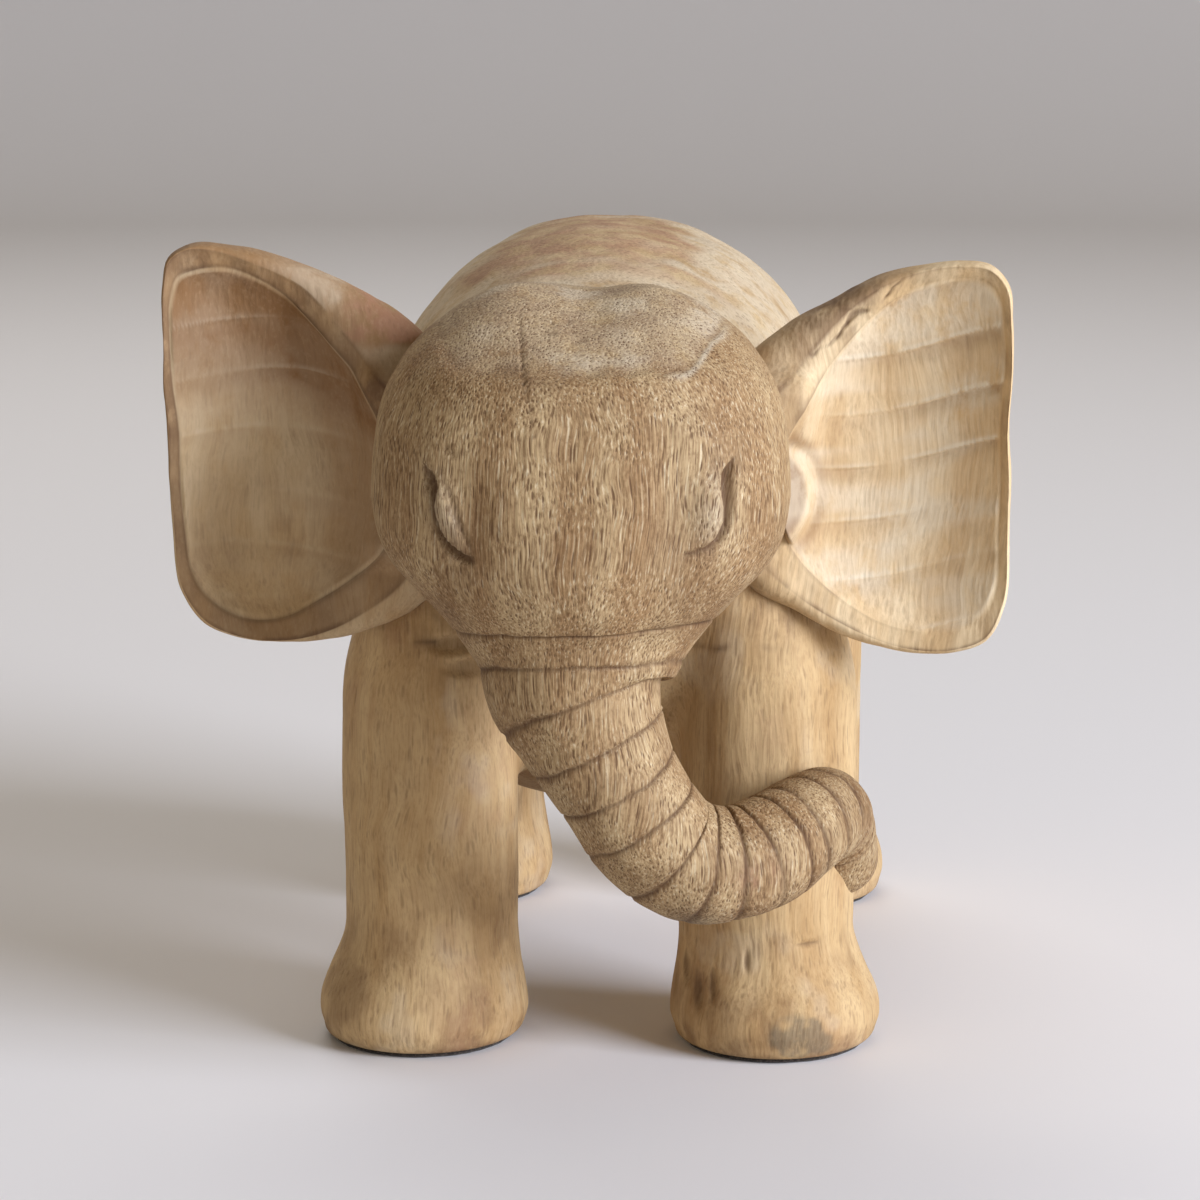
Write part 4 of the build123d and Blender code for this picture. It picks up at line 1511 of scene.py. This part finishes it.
@dataclass
class Tail:
    """A short tail that hangs down the rump and ends in a carved tuft."""

    columns: int = 90
    tuft_start: float = 0.7

    def skin(self) -> Skin:
        """Rings along a path that follows the rump, with a swelling and grooves for the tuft."""
        low, high = box_mm("tail")
        middle_x = (low[0] + high[0]) / 2
        height = high[2] - low[2]
        # Share of the way down, Y and radius.
        line = np.array(
            [
                (0.00, high[1] - 17.5, 5.6),
                (0.12, high[1] - 11.5, 5.6),
                (0.30, high[1] - 7.4, 5.3),
                (0.52, high[1] - 5.6, 5.0),
                (0.68, high[1] - 6.0, 5.4),
                (0.82, high[1] - 7.6, 6.6),
                (0.93, high[1] - 10.2, 4.8),
                (1.00, high[1] - 12.0, 1.2),
            ]
        )
        share = np.linspace(0, 1, 190)
        rows = through(line, share)
        level = high[2] - 1.5 - share * (height - 3)
        centre = np.column_stack([np.full(len(share), middle_x), rows[:, 0], level])
        along = np.gradient(centre, axis=0)
        along /= np.linalg.norm(along, axis=1, keepdims=True)
        front = np.cross(along, np.array([1.0, 0, 0]))
        turn = np.linspace(0, 2 * math.pi, self.columns, endpoint=False)
        close = np.minimum(1, np.sqrt(np.clip(share / 0.05, 0, 1)))
        size = rows[:, 1] * close
        strands = (0.5 + 0.5 * np.cos(turn * 9 + 2 * share[:, None])) ** 2
        strands = smooth_step(0.66, 0.8, share)[:, None] * strands
        size = size[:, None] - 0.9 * strands
        size -= (0.5 * bell(share - self.tuft_start, 0.012))[:, None]
        rings = (
            centre[:, None]
            + (size * np.cos(turn))[..., None] * np.array([1.0, 0, 0])
            + (size * np.sin(turn))[..., None] * front[:, None]
        )
        rings[0], rings[-1] = rings[0].mean(axis=0), rings[-1].mean(axis=0)
        skin = Skin(rings, blank_marks(rings.shape[:2]))
        skin.carve(0.5 * gouge(rings, (8, 8, 12), 81))
        skin.marks["cut"] = 0.55 * strands + 0.6 * bell(share - self.tuft_start, 0.014)[:, None]
        skin.marks["shade"] = 0.4 * smooth_step(0.6, 0.9, share)[:, None] * np.ones_like(strands)
        return skin


@dataclass
class Pad:
    """A felt disc glued under a foot, its edge rounded and a little uneven."""

    node: str
    columns: int = 160

    def skin(self) -> Skin:
        """Rings out along the underside, round the edge and back along the top."""
        low, high = box_mm(self.node)
        middle, half = (low + high) / 2, (high - low) / 2
        turn = np.linspace(0, 2 * math.pi, self.columns, endpoint=False)
        face = np.linspace(0, 0.96, 10)
        bend = np.linspace(0, math.pi, 13)[1:-1]
        out = np.concatenate([face, 0.96 + 0.04 * np.sin(bend), face[::-1]])
        up = np.concatenate([np.full(len(face), -1.0), -np.cos(bend), np.full(len(face), 1.0)])
        circle = np.stack([9 * np.cos(turn), 9 * np.sin(turn), 0 * turn], -1)
        ragged = 1 - 0.006 * (1 + waver(circle, (1, 1, 1), 91))
        rings = np.stack(
            [
                middle[0] + half[0] * out[:, None] * np.cos(turn) * ragged,
                middle[1] + half[1] * out[:, None] * np.sin(turn) * ragged,
                middle[2] + half[2] * up[:, None] * np.ones_like(turn),
            ],
            axis=-1,
        )
        return Skin(rings, {})


# ---------------------------------------------------------------- studio


@dataclass
class Studio:
    """A plain pale floor, soft lights and the camera. Sizes are in metres."""

    eye: tuple[float, float, float] = (0.0646, -1.2356, 0.3516)
    aim: tuple[float, float, float] = (0.0044, -0.0872, 0.1405)
    lens: float = 120.0
    aim_height: float = 0.14

    def floor(self) -> None:
        """A large round floor whose far edge curves up all the way round."""
        turn = np.linspace(0, 2 * math.pi, 97)[:-1]
        bend = np.linspace(0, math.pi / 2, 14)[1:]
        level = np.array([0.0, 0.5, 1.2, 2.0, 2.8])
        out = np.concatenate([level, level[-1] + 0.9 * np.sin(bend)])
        up = np.concatenate([np.zeros(len(level)), 0.9 - 0.9 * np.cos(bend)])
        points = np.stack(
            [out[:, None] * np.cos(turn), out[:, None] * np.sin(turn), up[:, None] + 0 * turn], axis=-1
        )
        at = np.arange(len(out) * len(turn)).reshape(len(out), len(turn))
        after = np.roll(at, -1, axis=1)
        quads = np.stack([at[:-1], at[1:], after[1:], after[:-1]], axis=-1).reshape(-1, 4)
        mesh = bpy.data.meshes.new("floor")
        mesh.from_pydata(points.reshape(-1, 3).tolist(), [], quads.tolist())
        mesh.polygons.foreach_set("use_smooth", np.ones(len(quads), bool))
        finish = bpy.data.materials.new("pale studio paper")
        finish.use_nodes = True
        shader = finish.node_tree.nodes["Principled BSDF"]
        shader.inputs["Base Color"].default_value = linear("#E9E6E3")
        shader.inputs["Roughness"].default_value = 0.8
        mesh.materials.append(finish)
        floor = bpy.data.objects.new("floor", mesh)
        bpy.context.scene.collection.objects.link(floor)

    def light(
        self, name: str, place: tuple[float, float, float], size: float, watts: float, colour: str
    ) -> None:
        """A square area light that faces the elephant.

        Args:
            name: the light's name.
            place: where it stands, in metres.
            size: length of its side, in metres.
            watts: its power.
            colour: its sRGB colour.
        """
        lamp = bpy.data.lights.new(name, "AREA")
        lamp.size = size
        lamp.energy = watts
        lamp.color = linear(colour)[:3]
        holder = bpy.data.objects.new(name, lamp)
        holder.location = place
        aim = Vector((0, 0, self.aim_height)) - Vector(place)
        holder.rotation_euler = aim.to_track_quat("-Z", "Y").to_euler()
        bpy.context.scene.collection.objects.link(holder)

    def build(self) -> None:
        """Floor, lights, world and camera."""
        self.floor()
        self.light("window", (2.25, -1.35, 1.05), 1.5, 132, "#E6EDFF")
        self.light("fill", (-1.2, -2.2, 0.9), 2.2, 5, "#F5EDDF")
        self.light("rear", (-0.5, 1.5, 1.9), 1.6, 18, "#F7F7FA")
        world = bpy.data.worlds.new("soft room")
        world.use_nodes = True
        world.node_tree.nodes["Background"].inputs["Color"].default_value = linear("#D9CAB4")
        world.node_tree.nodes["Background"].inputs["Strength"].default_value = 0.30
        bpy.context.scene.world = world
        camera = bpy.data.cameras.new("camera")
        camera.lens = self.lens
        camera.sensor_width = 36
        holder = bpy.data.objects.new("camera", camera)
        holder.location = self.eye
        aim = Vector(self.aim) - Vector(self.eye)
        holder.rotation_euler = aim.to_track_quat("-Z", "Y").to_euler()
        bpy.context.scene.collection.objects.link(holder)
        bpy.context.scene.camera = holder
        bpy.context.scene.view_settings.view_transform = "Standard"


# The ears' outlines in mm, as x counted outwards and z, seen from the front.
RIGHT_OUTLINE = (
    (123.0, 218.0), (122.8, 232.0), (121.6, 238.6), (116.5, 242.4), (102.3, 242.2), (83.1, 236.4),
    (70.4, 231.0), (56.8, 223.4), (45.0, 212.5), (36.0, 198.0), (34.0, 175.0), (38.0, 152.0),
    (47.8, 138.6), (56.5, 132.8), (68.1, 128.4), (87.8, 126.0), (103.1, 127.6), (112.8, 132.0),
    (118.6, 140.6), (121.2, 158.0), (122.2, 178.0), (123.0, 200.0),
)
RIGHT_CREST = (
    (122.4, 218.0), (121.9, 231.0), (120.6, 237.6), (115.8, 241.4), (106.9, 241.0), (99.9, 238.6),
    (91.1, 235.0), (83.1, 230.6), (76.8, 224.6), (72.1, 219.0), (67.2, 213.2), (62.6, 207.6),
    (57.0, 202.0), (47.0, 190.0), (44.0, 174.0), (48.0, 154.0), (57.0, 142.4), (66.6, 135.2),
    (78.5, 129.2), (87.9, 127.0), (102.6, 128.3), (111.9, 133.0), (117.6, 141.2), (120.2, 158.0),
    (121.2, 178.0), (122.2, 200.0),
)
RIGHT_RIM = (
    (121.4, 218.0), (120.9, 228.0), (118.9, 233.8), (114.2, 236.2), (106.2, 236.8), (98.2, 234.6),
    (88.6, 228.8), (81.7, 222.3), (75.3, 215.2), (68.9, 207.9), (63.4, 199.9), (59.6, 191.7),
    (55.0, 174.6), (56.5, 160.0), (60.2, 153.0), (70.4, 143.9), (81.4, 136.8), (87.2, 133.6),
    (98.2, 132.2), (106.9, 135.4), (113.3, 141.2), (118.1, 159.5), (119.3, 175.6), (120.7, 199.9),
)
LEFT_OUTLINE = (
    (122.9, 222.0), (121.8, 232.0), (117.0, 237.6), (108.8, 238.8), (97.2, 237.4), (84.1, 233.8),
    (74.0, 228.3), (59.5, 220.5), (47.0, 211.0), (36.0, 198.0), (34.0, 175.0), (39.0, 154.0),
    (50.0, 141.5), (59.5, 137.0), (71.1, 131.0), (82.7, 126.8), (94.3, 124.6), (108.8, 125.6),
    (117.6, 129.8), (122.0, 139.4), (123.0, 156.0), (123.0, 178.0), (122.8, 200.0),
)
LEFT_CREST = (
    (122.2, 222.0), (121.0, 231.2), (116.4, 236.6), (108.4, 237.6), (97.0, 235.8), (85.4, 231.0),
    (76.6, 224.4), (68.4, 215.6), (60.5, 206.4), (50.0, 196.0), (45.0, 175.0), (49.0, 156.0),
    (57.0, 146.5), (64.5, 140.2), (74.5, 134.0), (84.5, 129.2), (94.7, 126.4), (108.3, 126.8),
    (116.8, 130.8), (121.0, 140.0), (122.2, 156.0), (122.2, 178.0), (122.2, 200.0),
)
LEFT_RIM = (
    (121.0, 221.0), (119.4, 229.6), (115.0, 234.0), (107.4, 234.6), (96.6, 232.0), (87.0, 226.6),
    (79.0, 219.0), (71.4, 209.6), (64.8, 199.0), (59.0, 189.0), (55.0, 174.0), (58.0, 159.0),
    (62.5, 151.5), (68.0, 145.6), (76.5, 138.8), (85.2, 133.6), (95.4, 130.8), (107.2, 130.8),
    (115.0, 134.4), (119.2, 141.8), (120.4, 157.0), (120.8, 178.0), (120.8, 200.0),
)

# Single gouge cuts in the front legs: centre x and z, then width, height and depth.
SHOULDER_CUTS = (((-39.0, 125.0), (10.0, 3.8, 2.6)), ((-35.0, 117.8), (9.0, 3.5, 2.2)))
FOOT_CUTS = (
    ((33.0, 20.0), (1.5, 8.0, 1.6)), ((37.5, 23.0), (1.4, 7.0, 1.4)), ((29.5, 25.0), (1.5, 6.0, 1.2)),
    ((48.0, 31.0), (1.1, 5.0, 0.7)), ((66.0, 36.0), (5.0, 1.2, 0.7)),
)
# x, z, half width and depth of the split along the top of the left ear.
BARK_FISSURE = (
    (65.7, 211.9, 0.5, 0.5), (73.7, 217.6, 0.9, 1.0), (78.5, 224.0, 1.4, 1.6),
    (83.0, 226.5, 1.1, 1.2), (87.2, 229.7, 0.7, 0.8), (93.6, 237.0, 0.4, 0.4),
)


def dress_dowels(finish: bpy.types.Material) -> None:
    """Gives the glued-in dowels, which keep their CAD shapes, their own wood."""
    for name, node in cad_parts.items():
        if "dowel" in name:
            node.data.materials.clear()
            node.data.materials.append(finish)


def main() -> None:
    """Builds the studio and then the elephant, piece by piece."""
    logging.basicConfig(level=logging.INFO, format="%(message)s")
    Studio().build()
    head_wood = RawWood(
        "greyed hardwood, face", "#B49970", "#997952", "#68492A", pore_share=0.85, pore_gap=0.85, smudge=0.4
    ).make()
    ear_wood = RawWood(
        "yellow hardwood, ears", "#DFC79E", "#CDAE80", "#7F5A34", pore_share=0.12, smudge=0.3, shift=60.0
    ).make()
    leg_wood = RawWood(
        "yellow hardwood, legs", "#C6A87A", "#B39162", "#7F5B36", pore_share=0.26, smudge=0.5, shift=130.0
    ).make()
    body_wood = RawWood(
        "pale hardwood, body", "#C5AA7F", "#B29368", "#7F5D3B", pore_share=0.3, smudge=0.45, shift=130.0
    ).make()
    dowel_wood = RawWood(
        "turned beech, dowels", "#D9B88C", "#C9A273", "#9A7550", pore_share=0.2, shift=300.0
    ).make()
    felt = PressedFelt().make()

    torso, head = Torso(), Head()
    place(torso.skin(head), "carved_torso", "torso", "body_wood", body_wood)
    place(head.skin(torso), "carved_head_and_trunk", "head_and_trunk", "head_wood", head_wood)
    ears = {
        # The right ear is browner, partly painted shade for the head's shadow.
        "right_ear": Ear(
            Side.RIGHT, RIGHT_OUTLINE, RIGHT_CREST, RIGHT_RIM, seed=41, stain_and_head_shadow=1.0, ripples=0.25
        ),
        "left_ear": Ear(
            Side.LEFT, LEFT_OUTLINE, LEFT_CREST, LEFT_RIM, seed=57, flawed=True, ripples=0.9, dish=7.5
        ),
    }
    for node, ear in ears.items():
        place(ear.skin(), f"carved_{node}", node, "ear_wood", ear_wood)
    fore, hind = {"lean": 6.0, "thigh": 0.0}, {"lean": -2.0, "thigh": 6.0}
    legs = [
        Leg("front_left_leg", Side.LEFT, "front_left_pad", **fore, seed=101, scoops=FOOT_CUTS),
        Leg("front_right_leg", Side.RIGHT, "front_right_pad", **fore, seed=121, scoops=SHOULDER_CUTS),
        Leg("rear_left_leg", Side.LEFT, "rear_left_pad", **hind, seed=141),
        Leg("rear_right_leg", Side.RIGHT, "rear_right_pad", **hind, seed=161),
    ]
    for leg in legs:
        place(leg.skin(torso), f"carved_{leg.node}", leg.node, "leg_wood", leg_wood)
        place(Pad(leg.pad).skin(), f"felt_{leg.pad}", leg.pad, "felt", felt)
    place(Tail().skin(), "carved_tail", "tail", "body_wood", body_wood)
    dress_dowels(dowel_wood)


if __name__ == "__main__":
    main()
